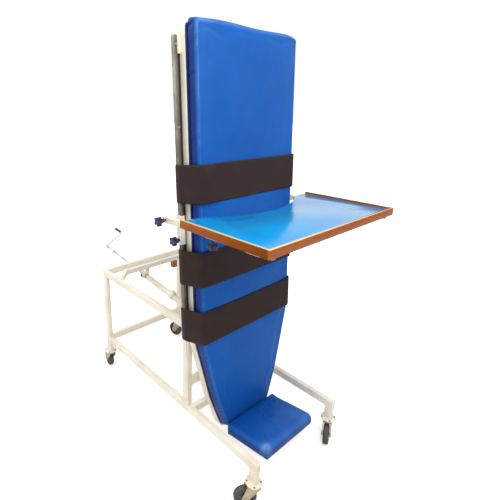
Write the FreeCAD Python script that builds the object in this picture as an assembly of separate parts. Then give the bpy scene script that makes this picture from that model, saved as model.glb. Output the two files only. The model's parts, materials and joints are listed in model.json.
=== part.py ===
import FreeCAD, Part
import math
import os

from FreeCAD import Vector

# Physiotherapy tilt table: a padded board hinged on a castored steel base,
# raised by a hand-cranked screw, with chest, hip and knee straps, a padded
# foot plate and a wooden tray that slides on rails along the board.
#
# Everything is built in a working frame: X forward (the way the pad faces),
# Y to the far side, Z up, with X = 0 on the tilt axis and Z = 0 on the floor.
# The last step moves all of it so that the origin is on the floor under the
# middle of the whole table.

# Tubes of the base
tube_deep = 40.0
tube_wide = 25.0
tube_wall = 2.0
tube_round = 3.0

# Base
base_width = 602.0
base_rear_reach = 801.0
base_front_reach = 463.0
leg_foot_height = 128.0
lower_rail_top = 235.0
upper_rail_top = 696.0
mid_cross_top = 387.0
post_top_round = 14.0
cut_over = 5.0

# An edge runs along an axis when this share of its direction does
along_share = 0.99

# Rest hoop over the upper rails
hoop_reach = 618.0
hoop_deep = 22.0
hoop_bar = 30.0
hoop_height = 738.0
hoop_leg_run = 38.0
hoop_foot_drop = 14.0
hoop_leg_thick = 14.0
hoop_shoulder = 6.0
buffer_width = 37.0
buffer_height = 44.0
buffer_deep = 24.0
buffer_offset = 113.0
buffer_round = 5.0

# Tilt hinge
hinge_pin_radius = 8.0
hinge_head_radius = 14.0
hinge_head_thick = 9.0
hinge_running_gap = 0.05
lug_thick = 7.0
lug_radius = 22.0
lug_post_gap = 1.0
lug_spread = 52.0
lug_reach = 50.0
board_post_gap = 3.8
board_lean = 3.3

# Board frame and base board
board_width = 610.0
frame_deep = 40.0
frame_wide = 30.0
frame_top = 1250.0
frame_bottom = -618.0
taper_start = -52.0
taper_mid = -400.0
taper_mid_half = 219.0
taper_end = -590.0
taper_end_half = 150.0
hip_round = 320.0
thigh_round = 420.0
frame_corner = 48.0
frame_cross_deep = 25.0
hip_cross_level = 232.0
ply_thick = 12.0
ply_bottom = -590.0
ply_corner = 28.0
pad_thick = 55.0
pad_top = 1272.0
pad_bottom = -566.0
pad_low_corner = 24.0
pad_seam = 0.3
pad_crown = 5.0
pad_edge_round = 9.0
pad_top_corner = 18.0

# Side rails
rail_deep = 22.0
rail_wide = 14.0
rail_top = 1228.0
rail_foot_setback = 12.0
rail_back = 18.0
rail_end_round = 3.0
packing_wide = 16.0
packing_deep = 8.0
spacer_length = 64.0
rail_screw_radius = 4.5
rail_screw_thick = 2.5
rail_screw_step = 300.0

# Straps
strap_width = 158.0
strap_thick = 3.0
strap_gap = 0.3
chest_strap_gap = 54.0
hip_strap_gap = 25.0
knee_strap_step = 274.0

# Foot plate
foot_pad_top = -523.6
foot_pad_length = 262.0
foot_pad_width = 364.0
foot_pad_thick = 58.0
foot_heel_gap = 3.2
foot_pad_crown = 3.0
foot_pad_round = 10.0
foot_near_corner = 9.0
foot_far_corner = 34.0
foot_heel_corner = 7.0
foot_pitch = 5.5
foot_steel_thick = 5.0
foot_steel_inset = 14.0
foot_rib_thick = 6.0
foot_rib_height = 36.0
foot_rib_offset = 60.0
foot_rib_toe_gap = 76.0
foot_rib_rise = 40.0
hanger_rise = 2.0
hanger_ply_gap = 2.0

# Lifting screw
trunnion_reach = 788.5
trunnion_height = 579.5
lever_back = 41.0
lever_drop = 187.0
lever_eye_radius = 17.0
lever_thick = 6.0
lever_root = 30.0
eye_wide = 26.0
eye_neck = 46.0
eye_side_gap = 2.0
eye_pin_radius = 7.0
nut_tube_radius = 19.0
nut_tube_wall = 3.0
screw_radius = 10.0
screw_running_gap = 0.05
nut_length = 46.0
nut_tube_setback = 26.0
screw_end_gap = 60.0
trunnion_long = 34.0
trunnion_wide = 36.0
trunnion_high = 36.0
trunnion_pin_radius = 6.0
cheek_gap = 1.0
cheek_thick = 5.0
cheek_top_width = 62.0
cheek_low_radius = 14.0
hanger_plate_thick = 5.0
hanger_flange = 24.0
thrust_collar_radius = 16.0
thrust_collar_long = 10.0
collar_face_gap = 0.5
stop_collar_long = 34.0
stop_collar_wall = 4.0
stop_collar_reach = 475.0
stop_lug_high = 14.0
stop_lug_wide = 18.0

# Crank
crank_reach = 511.0
crank_shaft_radius = 8.0
crank_boss_radius = 14.0
crank_boss_long = 52.0
crank_boss_setback = 62.0
crank_radius = 152.0
crank_angle = 32.0
crank_arm_wide = 16.0
crank_arm_thick = 7.0
crank_hub_radius = 13.0
crank_hub_long = 22.0
grip_length = 84.0
grip_radius = 10.5
grip_waist = 8.5
grip_spindle_radius = 4.0
grip_running_gap = 0.1
grip_gap = 2.0
grip_cap = 5.0

# Tray and its carriage
tray_top_height = 1236.0
tray_rear_gap = 4.0
tray_length = 433.0
tray_panel_thick = 16.0
lipping_thick = 11.0
lipping_height = 32.0
lipping_rise = 8.0
cutout_half_chord = 312.0
cutout_depth = 112.0
panel_edge_round = 12.0
arm_side = 20.0
arm_wall = 2.0
arm_round = 1.5
arm_inset = 42.0
arm_bridge = 22.4
arm_panel_gap = 0.5
arm_rear = 45.0
arm_front_setback = 12.0
receiver_length = 96.0
receiver_wall = 3.0
receiver_gap = 0.3
sleeve_height = 124.0
sleeve_above_arm = 12.6
sleeve_wall = 4.0
sleeve_gap = 0.3
sleeve_lip = 2.0
bridge_block_high = 38.0
bridge_block_deep = 24.0
guide_length = 60.0
guide_wall = 3.0
guide_gap = 0.4
guide_setback = 113.0
guide_front_setback = 60.0

# Star knobs
knob_thick = 18.0
knob_lobe_radius = 6.6
knob_lobes = 5
knob_lobe_ring = 14.4
knob_neck_radius = 9.0
knob_neck_long = 16.0
knob_stem_radius = 4.0
knob_stem_gap = 0.1
knob_stand_off = 22.0
knob_stem_tip_gap = 0.6
arm_knob_stand_off = 27.0
sleeve_knob_level = 20.0
receiver_knob_setback = 18.0

# Castors
wheel_radius = 50.0
tyre_thick = 11.0
tyre_wide = 27.0
tyre_shoulder = 6.0
rim_web = 12.0
hub_radius = 13.0
hub_wide = 31.0
axle_radius = 5.0
axle_gap = 0.1
axle_head_radius = 8.5
axle_head_thick = 5.0
fork_thick = 3.0
fork_gap = 2.0
fork_crown_drop = 9.0
fork_leg_top = 30.0
fork_leg_low = 17.0
swivel_trail = 34.0
swivel_plate_radius = 37.0
swivel_plate_thick = 4.0
swivel_race_radius = 24.0
swivel_race_high = 9.0
swivel_gap = 0.3
kingpin_radius = 6.0
kingpin_gap = 0.1
plate_bolt_head_radius = 4.5
plate_bolt_head_thick = 4.0
plate_bolt_ring = 30.5
plate_bolts = 4
near_rear_trail_turn = 172.0
far_rear_trail_turn = -168.0
near_front_trail_turn = -128.0
far_front_trail_turn = -61.0

# Places that follow from the sizes above
half_base = base_width / 2
post_inner = half_base - tube_wide
rail_low_z = upper_rail_top - tube_deep
low_rail_low_z = lower_rail_top - tube_deep
post_front = tube_deep / 2
tilt_height = upper_rail_top - tube_deep / 2
frame_back = post_front + board_post_gap
frame_front = frame_back + frame_deep
ply_front = frame_front + ply_thick
pad_front = ply_front + pad_thick
half_board = board_width / 2
frame_inner = half_board - frame_wide
packing_outer = half_board + packing_wide
rail_outer = packing_outer + rail_wide
rail_front = rail_back + rail_deep
sleeve_outer = rail_outer + sleeve_gap + sleeve_wall
strap_rail_round = rail_end_round
foot_heel = pad_front + foot_heel_gap
foot_toe = pad_front + foot_pad_length
panel_low = tray_top_height - lipping_rise - tray_panel_thick
arm_offset = sleeve_outer + arm_bridge + receiver_wall + receiver_gap + arm_side / 2
tray_width = 2 * (arm_offset + arm_inset)
arm_outer = arm_offset + arm_side / 2
arm_inner = arm_offset - arm_side / 2
arm_top = panel_low - arm_panel_gap
arm_mid = arm_top - arm_side / 2
lean = math.radians(board_lean)
sleeve_low = (arm_mid - tilt_height) / math.cos(lean) + sleeve_above_arm - sleeve_height
chest_strap_level = sleeve_low + sleeve_height + chest_strap_gap + strap_width / 2
hip_strap_level = sleeve_low - hip_strap_gap - strap_width / 2
knee_strap_level = hip_strap_level - knee_strap_step
rail_bottom = knee_strap_level - strap_width / 2 + rail_foot_setback

parts = {}


def box(low, high):
    """A block between two corners."""
    size = [high[i] - low[i] for i in range(3)]
    return Part.makeBox(size[0], size[1], size[2], Vector(*low))


def rod(centre, axis, radius, length):
    """A round bar from centre along axis."""
    return Part.makeCylinder(radius, length, Vector(*centre), Vector(*axis))


def rounded_box(low, high, along, radius):
    """A block between two corners whose four long edges are rounded."""
    block = box(low, high)
    long_edges = [e for e in block.Edges if abs(e.tangentAt(e.FirstParameter)[along]) > along_share]
    return block.makeFillet(radius, long_edges)


def hollow(low, high, along, wall, radius=tube_round):
    """A rectangular tube between two corners, open along one axis."""
    inner_low = [low[i] - cut_over if i == along else low[i] + wall for i in range(3)]
    inner_high = [high[i] + cut_over if i == along else high[i] - wall for i in range(3)]
    return rounded_box(low, high, along, radius).cut(box(inner_low, inner_high))


def capped(low, high, wall):
    """An upright rectangular tube with a closed top and an open foot."""
    core_low = [low[0] + wall, low[1] + wall, low[2] - cut_over]
    core_high = [high[0] - wall, high[1] - wall, high[2] - wall]
    return rounded_box(low, high, 2, tube_round).cut(box(core_low, core_high))


def both_sides(shape):
    """The near piece and its mirror image on the far side."""
    return [shape, shape.mirror(Vector(0, 0, 0), Vector(0, 1, 0))]


def on_board(shape):
    """Take a shape from the board's own frame, upright about the tilt axis, to its resting lean."""
    moved = shape.copy()
    moved.rotate(Vector(0, 0, 0), Vector(0, 1, 0), -board_lean)
    moved.translate(Vector(0, 0, tilt_height))
    return moved


def board_point(u, w):
    """Working X and Z of a point of the board's frame, u out of the pad and w up the board."""
    x = u * math.cos(lean) - w * math.sin(lean)
    z = tilt_height + u * math.sin(lean) + w * math.cos(lean)
    return x, z


def prism(points, push):
    """Push a flat outline of corners along a vector."""
    wire = Part.makePolygon([Vector(*p) for p in points] + [Vector(*points[0])])
    return Part.Face(wire).extrude(Vector(*push))


def rounded_outline(corners, place):
    """A closed flat wire through (a, b, radius) corners, each rounded by a tangent arc."""
    spans = []
    for i, (a, b, radius) in enumerate(corners):
        here = Vector(a, b, 0)
        before = (Vector(*corners[i - 1][:2], 0) - here).normalize()
        after = (Vector(*corners[(i + 1) % len(corners)][:2], 0) - here).normalize()
        half = before.getAngle(after) / 2
        inward = (before + after).normalize()
        centre = here + inward * (radius / math.sin(half))
        reach = radius / math.tan(half)
        spans.append((here + before * reach, centre - inward * radius, here + after * reach))
    edges = []
    for i, (first, middle, last) in enumerate(spans):
        following = spans[(i + 1) % len(spans)][0]
        edges.append(Part.Arc(*[place(v.x, v.y) for v in (first, middle, last)]).toShape())
        edges.append(Part.LineSegment(place(last.x, last.y), place(following.x, following.y)).toShape())
    return Part.Wire(edges)


def add(name, shapes):
    """Keep the solids of one node."""
    solids = []
    for shape in shapes:
        solids.extend(shape.Solids)
    parts[name] = Part.makeCompound(solids) if len(solids) > 1 else solids[0]


def build_base():
    """Posts, rails and cross tubes of the castored base."""
    rear = -base_rear_reach
    front = base_front_reach
    rear_post = capped([rear, -half_base, leg_foot_height],
                       [rear + tube_deep, -post_inner, upper_rail_top], tube_wall)
    add("rear_posts", both_sides(rear_post))
    mid_post = box([-post_front, -half_base, lower_rail_top], [post_front, -post_inner, upper_rail_top])
    crest = [e for e in mid_post.Edges if e.CenterOfMass.x > 0 and e.BoundBox.ZMin > tilt_height
             and abs(e.tangentAt(e.FirstParameter).y) > along_share]
    mid_post = mid_post.makeFillet(post_top_round, crest)
    core = box([tube_wall - post_front, tube_wall - half_base, lower_rail_top - cut_over],
               [post_front - tube_wall, -post_inner - tube_wall, upper_rail_top - post_top_round])
    mid_post = mid_post.cut(core)
    pin_hole = rod([0, -half_base - cut_over, tilt_height], [0, 1, 0],
                   hinge_pin_radius, tube_wide + 2 * cut_over)
    add("mid_posts", both_sides(mid_post.cut(pin_hole)))
    leg = capped([front - tube_deep, -half_base, leg_foot_height],
                 [front, -post_inner, low_rail_low_z], tube_wall)
    add("front_legs", both_sides(leg))
    upper = hollow([rear + tube_deep, -half_base, rail_low_z],
                   [-post_front, -post_inner, upper_rail_top], 0, tube_wall)
    add("upper_rails", both_sides(upper))
    lower = rounded_box([rear + tube_deep, -half_base, low_rail_low_z],
                        [front, -post_inner, lower_rail_top], 0, tube_round)
    lower = lower.cut(box([rear, tube_wall - half_base, low_rail_low_z + tube_wall],
                          [front - tube_wall, -post_inner - tube_wall, lower_rail_top - tube_wall]))
    add("lower_rails", both_sides(lower))

    top_cross = hollow([rear, -post_inner, rail_low_z],
                       [rear + tube_wide, post_inner, upper_rail_top], 1, tube_wall)
    low_cross = hollow([rear, -post_inner, low_rail_low_z],
                       [rear + tube_wide, post_inner, lower_rail_top], 1, tube_wall)
    mid_cross = hollow([post_front - tube_wide, -post_inner, mid_cross_top - tube_deep],
                       [post_front, post_inner, mid_cross_top], 1, tube_wall)
    front_cross = hollow([post_front, -post_inner, low_rail_low_z],
                         [post_front + tube_wide, post_inner, lower_rail_top], 1, tube_wall)
    add("cross_tubes", [top_cross, low_cross, mid_cross, front_cross])


def build_hoop():
    """The bent bar over the upper rails that carries the lowered board, and its wooden buffer."""
    x0 = -hoop_reach - hoop_deep / 2
    foot_high = upper_rail_top - hoop_foot_drop
    foot_low = foot_high - hoop_leg_thick
    bar_low = hoop_height - hoop_bar
    joint = post_inner - hoop_leg_run
    bar = rounded_box([x0, -joint, bar_low], [x0 + hoop_deep, joint, hoop_height], 1, tube_round)
    leg = prism([(x0, -post_inner, foot_low), (x0, -post_inner, foot_high),
                 (x0, -joint - hoop_shoulder, hoop_height), (x0, -joint, hoop_height),
                 (x0, -joint, bar_low)], (hoop_deep, 0, 0))
    add("rest_hoop", [bar] + both_sides(leg))
    block = box([x0, buffer_offset - buffer_width / 2, bar_low - buffer_height],
                [x0 + buffer_deep, buffer_offset + buffer_width / 2, bar_low])
    upright = [e for e in block.Edges if abs(e.tangentAt(e.FirstParameter).x) > along_share]
    add("hoop_buffer", [block.makeFillet(buffer_round, upright)])


def build_hinge():
    """Hinge bolts through the mid posts, held by the post walls."""
    shank = rod([0, -half_base, tilt_height], [0, 1, 0], hinge_pin_radius,
                tube_wide + lug_post_gap + lug_thick)
    outer = rod([0, -half_base - hinge_head_thick, tilt_height], [0, 1, 0],
                hinge_head_radius, hinge_head_thick)
    inner_y = -post_inner + lug_post_gap + lug_thick + lug_post_gap
    tail = rod([0, -post_inner, tilt_height], [0, 1, 0], hinge_pin_radius,
               2 * lug_post_gap + lug_thick)
    inner = rod([0, inner_y, tilt_height], [0, 1, 0], hinge_head_radius, hinge_head_thick)
    bolt = shank.fuse([outer, tail, inner]).removeSplitter()
    add("hinge_bolts", both_sides(bolt))


def board_outline(inset, top, bottom, top_corner, low_corner):
    """Flat outline of the board: full width to the hips, tapering below them to the foot end."""
    edge = half_board - inset
    mid = taper_mid_half - inset
    slope = (taper_mid_half - taper_end_half) / (taper_mid - taper_end)
    low = mid - (taper_mid - bottom) * slope
    right = [(low, bottom, low_corner), (mid, taper_mid, thigh_round), (edge, taper_start, hip_round),
             (edge, top, top_corner)]
    left = [(-y, w, radius) for y, w, radius in reversed(right)]
    return rounded_outline(right + left, lambda y, w: Vector(0, y, w))


def slab(wire, u0, thick):
    """A plate of the given outline, u0 out from the tilt axis."""
    plate = Part.Face(wire).extrude(Vector(thick, 0, 0))
    plate.translate(Vector(u0, 0, 0))
    return plate


def build_board_frame():
    """Tapered steel frame: two bent side members, cross tubes, hinge lugs and screw lever."""
    outer = slab(board_outline(0, frame_top, frame_bottom, tube_round, frame_corner),
                 frame_back, frame_deep)
    outer = outer.makeFillet(tube_round, [e for e in outer.Edges if e.BoundBox.XLength < tube_wall])
    inner = slab(board_outline(frame_wide, frame_top + cut_over, frame_bottom + frame_wide, tube_round,
                               frame_corner - frame_wide), frame_back - cut_over,
                 frame_deep + 2 * cut_over)
    solid_ring = outer.cut(inner)
    core_out = slab(board_outline(tube_wall, frame_top + cut_over, frame_bottom + tube_wall, tube_wall,
                                  frame_corner - tube_wall), frame_back + tube_wall,
                    frame_deep - 2 * tube_wall)
    core_in = slab(board_outline(frame_wide - tube_wall, frame_top + 2 * cut_over,
                                 frame_bottom + frame_wide - tube_wall, tube_wall,
                                 frame_corner - frame_wide + tube_wall), frame_back, frame_deep)
    ring = solid_ring.cut(core_out.cut(core_in))
    half_foot = foot_rib_offset + 2 * foot_rib_thick
    near = box([frame_back - cut_over, -half_board - cut_over, frame_bottom - cut_over],
               [frame_front + cut_over, -half_foot, frame_top + cut_over])
    sill = box([frame_back - cut_over, -half_foot, frame_bottom - cut_over],
               [frame_front + cut_over, half_foot, frame_bottom + frame_wide + cut_over])
    bent = both_sides(ring.common(near)) + [ring.common(sill)]
    add("bent_frame", [on_board(s) for s in bent])

    levels = [frame_top - frame_cross_deep, chest_strap_level + strap_width / 2,
              hip_cross_level, -lever_drop - frame_cross_deep / 2]
    tubes = []
    for level in levels:
        tubes.append(hollow([frame_back, -frame_inner, level],
                            [frame_front, frame_inner, level + frame_cross_deep], 1, tube_wall))
    keep = slab(board_outline(frame_wide, frame_top + cut_over, frame_bottom, tube_wall,
                              frame_corner - frame_wide), frame_back - cut_over,
                frame_deep + 2 * cut_over)
    add("frame_cross_tubes", [on_board(t.common(keep)) for t in tubes])

    lug_y = -post_inner + lug_post_gap
    lug = prism([(0, lug_y, lug_radius), (frame_back, lug_y, lug_spread),
                 (lug_reach, lug_y, lug_spread), (lug_reach, lug_y, -lug_spread),
                 (frame_back, lug_y, -lug_spread), (0, lug_y, -lug_radius)],
                (0, lug_thick, 0))
    lug = lug.fuse(rod([0, lug_y, 0], [0, 1, 0], lug_radius, lug_thick)).removeSplitter()
    lug = lug.cut(rod([0, lug_y - cut_over, 0], [0, 1, 0], hinge_pin_radius + hinge_running_gap,
                      lug_thick + 2 * cut_over))
    lug = lug.cut(solid_ring)
    add("hinge_lugs", [on_board(s) for s in both_sides(lug)])

    ear_y = -eye_wide / 2 - eye_side_gap - lever_thick
    ear = prism([(-lever_back, ear_y, -lever_drop + lever_eye_radius),
                 (frame_back, ear_y, -lever_drop + lever_root),
                 (frame_back, ear_y, -lever_drop - lever_root),
                 (-lever_back, ear_y, -lever_drop - lever_eye_radius)], (0, lever_thick, 0))
    ear = ear.fuse(rod([-lever_back, ear_y, -lever_drop], [0, 1, 0], lever_eye_radius,
                       lever_thick)).removeSplitter()
    ear = ear.cut(rod([-lever_back, ear_y - cut_over, -lever_drop], [0, 1, 0], eye_pin_radius,
                      lever_thick + 2 * cut_over))
    root_half = -ear_y + lever_thick
    root = box([frame_back - lever_thick, -root_half, -lever_drop - lever_root],
               [frame_back, root_half, -lever_drop + lever_root])
    add("screw_lever", [on_board(ear.fuse([ear.mirror(Vector(0, 0, 0), Vector(0, 1, 0)), root]))])


def build_padding():
    """Plywood base board and the padded mattress with its crown and rounded edge."""
    ply = slab(board_outline(tube_wall, pad_top - tube_wall, ply_bottom, pad_top_corner, ply_corner),
               frame_front, ply_thick)
    add("base_board", [on_board(ply)])
    wire = board_outline(0, pad_top, pad_bottom, pad_top_corner, pad_low_corner)
    pad = slab(wire, ply_front + pad_seam, pad_thick - pad_seam)
    crown_radius = (half_board ** 2 + pad_crown ** 2) / (2 * pad_crown)
    length = pad_top - pad_bottom + 2 * cut_over
    barrel = rod([pad_front - crown_radius, 0, pad_bottom - cut_over], [0, 0, 1], crown_radius, length)
    pad = pad.common(barrel)
    front = max(pad.Faces, key=lambda f: f.CenterOfMass.x)
    pad = pad.makeFillet(pad_edge_round, front.Edges)
    add("mattress", [on_board(pad)])


def build_rails():
    """Steel side rails on black packing strips, with a painted spacer at the top and bright screws."""
    rail = box([rail_back, -rail_outer, rail_bottom], [rail_front, -packing_outer, rail_top])
    ends = [e for e in rail.Edges if abs(e.tangentAt(e.FirstParameter).z) > along_share]
    rail = rail.makeFillet(rail_end_round, ends)
    add("side_rails", [on_board(s) for s in both_sides(rail)])
    mid = rail_back + rail_deep / 2
    strip = box([mid - packing_deep / 2, -packing_outer, rail_bottom],
                [mid + packing_deep / 2, -half_board, rail_top - spacer_length])
    add("rail_packing", [on_board(s) for s in both_sides(strip)])
    spacer = box([frame_back, -packing_outer, rail_top - spacer_length],
                 [rail_front, -half_board, rail_top])
    add("rail_spacers", [on_board(s) for s in both_sides(spacer)])
    screws = []
    count = int((rail_top - rail_bottom) / rail_screw_step) + 1
    for i in range(count):
        level = rail_top - spacer_length / 2 - i * rail_screw_step
        screws.append(rod([rail_front, -packing_outer - rail_wide / 2, level], [1, 0, 0],
                          rail_screw_radius, rail_screw_thick))
    kept = []
    for screw in screws:
        level = screw.CenterOfMass.z
        under_strap = any(abs(level - c) < strap_width / 2 + rail_screw_radius
                          for c in (chest_strap_level, hip_strap_level, knee_strap_level))
        under_sleeve = abs(level - sleeve_low - sleeve_height / 2) < sleeve_height
        if not under_strap and not under_sleeve:
            kept.append(screw)
    pairs = []
    for screw in kept:
        pairs.extend(both_sides(screw))
    add("rail_screws", [on_board(s) for s in pairs])


def strap_core(offset):
    """What a strap is wrapped round: pad, board edge and both side rails, grown by an offset."""
    front = pad_front + offset
    edge = half_board + offset
    rail = rail_outer + offset
    back = rail_back - offset
    turn = rail_front + offset
    core = prism([(front, -edge, 0), (turn, -rail, 0), (back, -rail, 0), (back, rail, 0),
                  (turn, rail, 0), (front, edge, 0)], (0, 0, strap_width))
    upright = [e for e in core.Edges if e.BoundBox.ZLength > strap_width / 2]
    core = core.makeFillet(pad_edge_round + offset, [e for e in upright if e.BoundBox.XMin > ply_front])
    rails = [e for e in core.Edges if e.BoundBox.ZLength > strap_width / 2
             and abs(e.CenterOfMass.y) > packing_outer]
    return core.makeFillet(strap_rail_round + offset, rails)


def strap(level):
    """One wide webbing strap: across the pad, down its sides and round the back of both side rails."""
    band = strap_core(strap_gap + strap_thick).cut(strap_core(strap_gap))
    reach = packing_outer + strap_rail_round
    band = band.cut(box([rail_back - rail_deep, -reach, -cut_over],
                        [rail_front, reach, strap_width + cut_over]))
    band.translate(Vector(0, 0, level - strap_width / 2))
    return on_board(band)


def build_straps():
    """Chest, hip and knee straps."""
    add("chest_strap", [strap(chest_strap_level)])
    add("hip_strap", [strap(hip_strap_level)])
    add("knee_strap", [strap(knee_strap_level)])


def foot_outline(inset, z, thick):
    """A plate of the foot plate's outline, drawn in by an inset, with its lower face at z."""
    half = foot_pad_width / 2 - inset
    heel = foot_heel
    toe = foot_toe - inset
    corners = [(heel, -half, foot_heel_corner), (toe, -half, foot_near_corner),
               (toe, half, foot_far_corner - inset), (heel, half, foot_heel_corner)]
    wire = rounded_outline(corners, lambda u, y: Vector(u, y, z))
    return Part.Face(wire).extrude(Vector(0, 0, thick))


def pitched(shape):
    """Tip the foot plate toes-up about its heel line, then set it on the board."""
    moved = shape.copy()
    moved.rotate(Vector(foot_heel, 0, foot_pad_top), Vector(0, 1, 0), -foot_pitch)
    return on_board(moved)


def build_foot_plate():
    """Padded foot plate on a steel tray with two ribs, carried by hangers from the board's sill."""
    half = foot_pad_width / 2
    steel_top = foot_pad_top - foot_pad_thick
    pad = foot_outline(0, steel_top + pad_seam, foot_pad_thick - pad_seam)
    crown_radius = (half ** 2 + foot_pad_crown ** 2) / (2 * foot_pad_crown)
    pad = pad.common(rod([foot_heel - cut_over, 0, foot_pad_top - crown_radius], [1, 0, 0], crown_radius,
                         foot_toe - foot_heel + 2 * cut_over))
    top = max(pad.Faces, key=lambda f: f.CenterOfMass.z)
    pad = pad.makeFillet(foot_pad_round, top.Edges)
    add("foot_pad", [pitched(pad)])
    steel_low = steel_top - foot_steel_thick
    steel = foot_outline(foot_steel_inset, steel_low, foot_steel_thick)
    ribs = []
    for side in (-1, 1):
        y = side * foot_rib_offset - foot_rib_thick / 2
        ribs.append(prism([(foot_heel, y, steel_low), (foot_toe - foot_rib_toe_gap, y, steel_low),
                           (foot_toe - foot_rib_toe_gap - foot_rib_rise, y, steel_low - foot_rib_thick),
                           (foot_heel, y, steel_low - foot_rib_height)], (0, foot_rib_thick, 0)))
    add("foot_plate", [pitched(steel.fuse(ribs).removeSplitter())])
    hangers = []
    for side in (-1, 1):
        y = side * foot_rib_offset + (foot_rib_thick / 2 if side > 0 else -foot_rib_thick * 3 / 2)
        hangers.append(box([frame_front, y, frame_bottom + hanger_rise],
                           [foot_heel + foot_rib_rise, y + foot_rib_thick, ply_bottom - hanger_ply_gap]))
    add("foot_hangers", [on_board(h) for h in hangers])


def screw_frame():
    """Angle of the screw axis at rest and the distance from trunnion to lever pin."""
    x, z = board_point(-lever_back, -lever_drop)
    run = x + trunnion_reach
    rise = z - trunnion_height
    return math.atan2(rise, run), math.hypot(run, rise)


def on_screw(shape):
    """Take a shape from the screw's own frame, along +X from the trunnion, to its resting place."""
    angle, _ = screw_frame()
    moved = shape.copy()
    moved.rotate(Vector(0, 0, 0), Vector(0, 1, 0), -math.degrees(angle))
    moved.translate(Vector(-trunnion_reach, 0, trunnion_height))
    return moved


def build_screw():
    """Hanger, trunnion, lead screw and nut tube of the tilting drive."""
    _, span = screw_frame()
    x = -trunnion_reach
    cheek_in = trunnion_wide / 2 + cheek_gap
    top = rail_low_z - hanger_plate_thick
    plate = box([x - cheek_top_width / 2, -cheek_in - cheek_thick - hanger_flange, top],
                [x + cheek_top_width / 2, cheek_in + cheek_thick + hanger_flange, rail_low_z])
    y = -cheek_in - cheek_thick
    cheek = prism([(x - cheek_top_width / 2, y, top), (x + cheek_top_width / 2, y, top),
                   (x + cheek_low_radius, y, trunnion_height),
                   (x - cheek_low_radius, y, trunnion_height)], (0, cheek_thick, 0))
    cheek = cheek.fuse(rod([x, y, trunnion_height], [0, 1, 0], cheek_low_radius,
                           cheek_thick)).removeSplitter()
    cheek = cheek.cut(rod([x, y - cut_over, trunnion_height], [0, 1, 0],
                          trunnion_pin_radius + screw_running_gap, cheek_thick + 2 * cut_over))
    add("screw_hanger", [plate] + both_sides(cheek))

    block = box([-trunnion_long / 2, -trunnion_wide / 2, -trunnion_high / 2],
                [trunnion_long / 2, trunnion_wide / 2, trunnion_high / 2])
    pins = rod([0, -cheek_in - cheek_thick, 0], [0, 1, 0], trunnion_pin_radius,
               2 * (cheek_in + cheek_thick))
    bore = rod([-trunnion_long, 0, 0], [1, 0, 0], screw_radius + screw_running_gap, 2 * trunnion_long)
    add("trunnion", [on_screw(block.fuse(pins).removeSplitter().cut(bore))])

    tube_start = trunnion_long / 2 + nut_tube_setback
    tube_end = span - eye_neck
    nut_end = tube_start + nut_length
    inner = nut_tube_radius - nut_tube_wall
    tube = rod([tube_start, 0, 0], [1, 0, 0], nut_tube_radius, tube_end - tube_start)
    tube = tube.cut(rod([tube_start - cut_over, 0, 0], [1, 0, 0], inner,
                        tube_end - tube_start - nut_length + cut_over))
    nut = rod([tube_start, 0, 0], [1, 0, 0], inner, nut_length)
    nut = nut.fuse(rod([tube_start - hinge_head_thick, 0, 0], [1, 0, 0], nut_tube_radius,
                       hinge_head_thick)).removeSplitter()
    nut = nut.cut(rod([tube_start - 2 * cut_over, 0, 0], [1, 0, 0],
                      screw_radius + screw_running_gap, nut_end))
    add("screw_nut", [on_screw(nut)])
    eye = rod([span, -eye_wide / 2, 0], [0, 1, 0], lever_eye_radius, eye_wide)
    neck = box([tube_end - cut_over, -eye_wide / 2, -lever_eye_radius],
               [span, eye_wide / 2, lever_eye_radius])
    neck = neck.cut(box([tube_end - 2 * cut_over, -eye_wide, -nut_tube_radius],
                        [tube_end, eye_wide, nut_tube_radius]))
    eye = eye.fuse(neck).removeSplitter()
    eye = eye.cut(rod([span, -eye_wide, 0], [0, 1, 0], eye_pin_radius, 2 * eye_wide))
    pin = rod([span, -eye_wide / 2, 0], [0, 1, 0], eye_pin_radius, eye_wide)
    add("tube_eye", [on_screw(eye), on_screw(pin)])
    start = span - stop_collar_reach
    collar = rod([start, 0, 0], [1, 0, 0], nut_tube_radius + stop_collar_wall, stop_collar_long)
    lug = box([start, -stop_lug_wide / 2, 0],
              [start + stop_collar_long, stop_lug_wide / 2,
               nut_tube_radius + stop_collar_wall + stop_lug_high])
    collar = collar.fuse(lug).removeSplitter()
    collar = collar.cut(rod([start - cut_over, 0, 0], [1, 0, 0], nut_tube_radius,
                            stop_collar_long + 2 * cut_over))
    add("nut_tube", [on_screw(tube), on_screw(collar)])

    screw_end = tube_end - nut_length - screw_end_gap
    screw = rod([-crank_boss_setback, 0, 0], [1, 0, 0], screw_radius, crank_boss_setback + screw_end)
    shaft = rod([-crank_reach, 0, 0], [1, 0, 0], crank_shaft_radius, crank_reach)
    face = trunnion_long / 2 + collar_face_gap
    collars = [rod([face, 0, 0], [1, 0, 0], thrust_collar_radius, thrust_collar_long),
               rod([-face - thrust_collar_long, 0, 0], [1, 0, 0], thrust_collar_radius,
                   thrust_collar_long)]
    add("lead_screw", [on_screw(screw.fuse([shaft] + collars).removeSplitter())])


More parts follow.
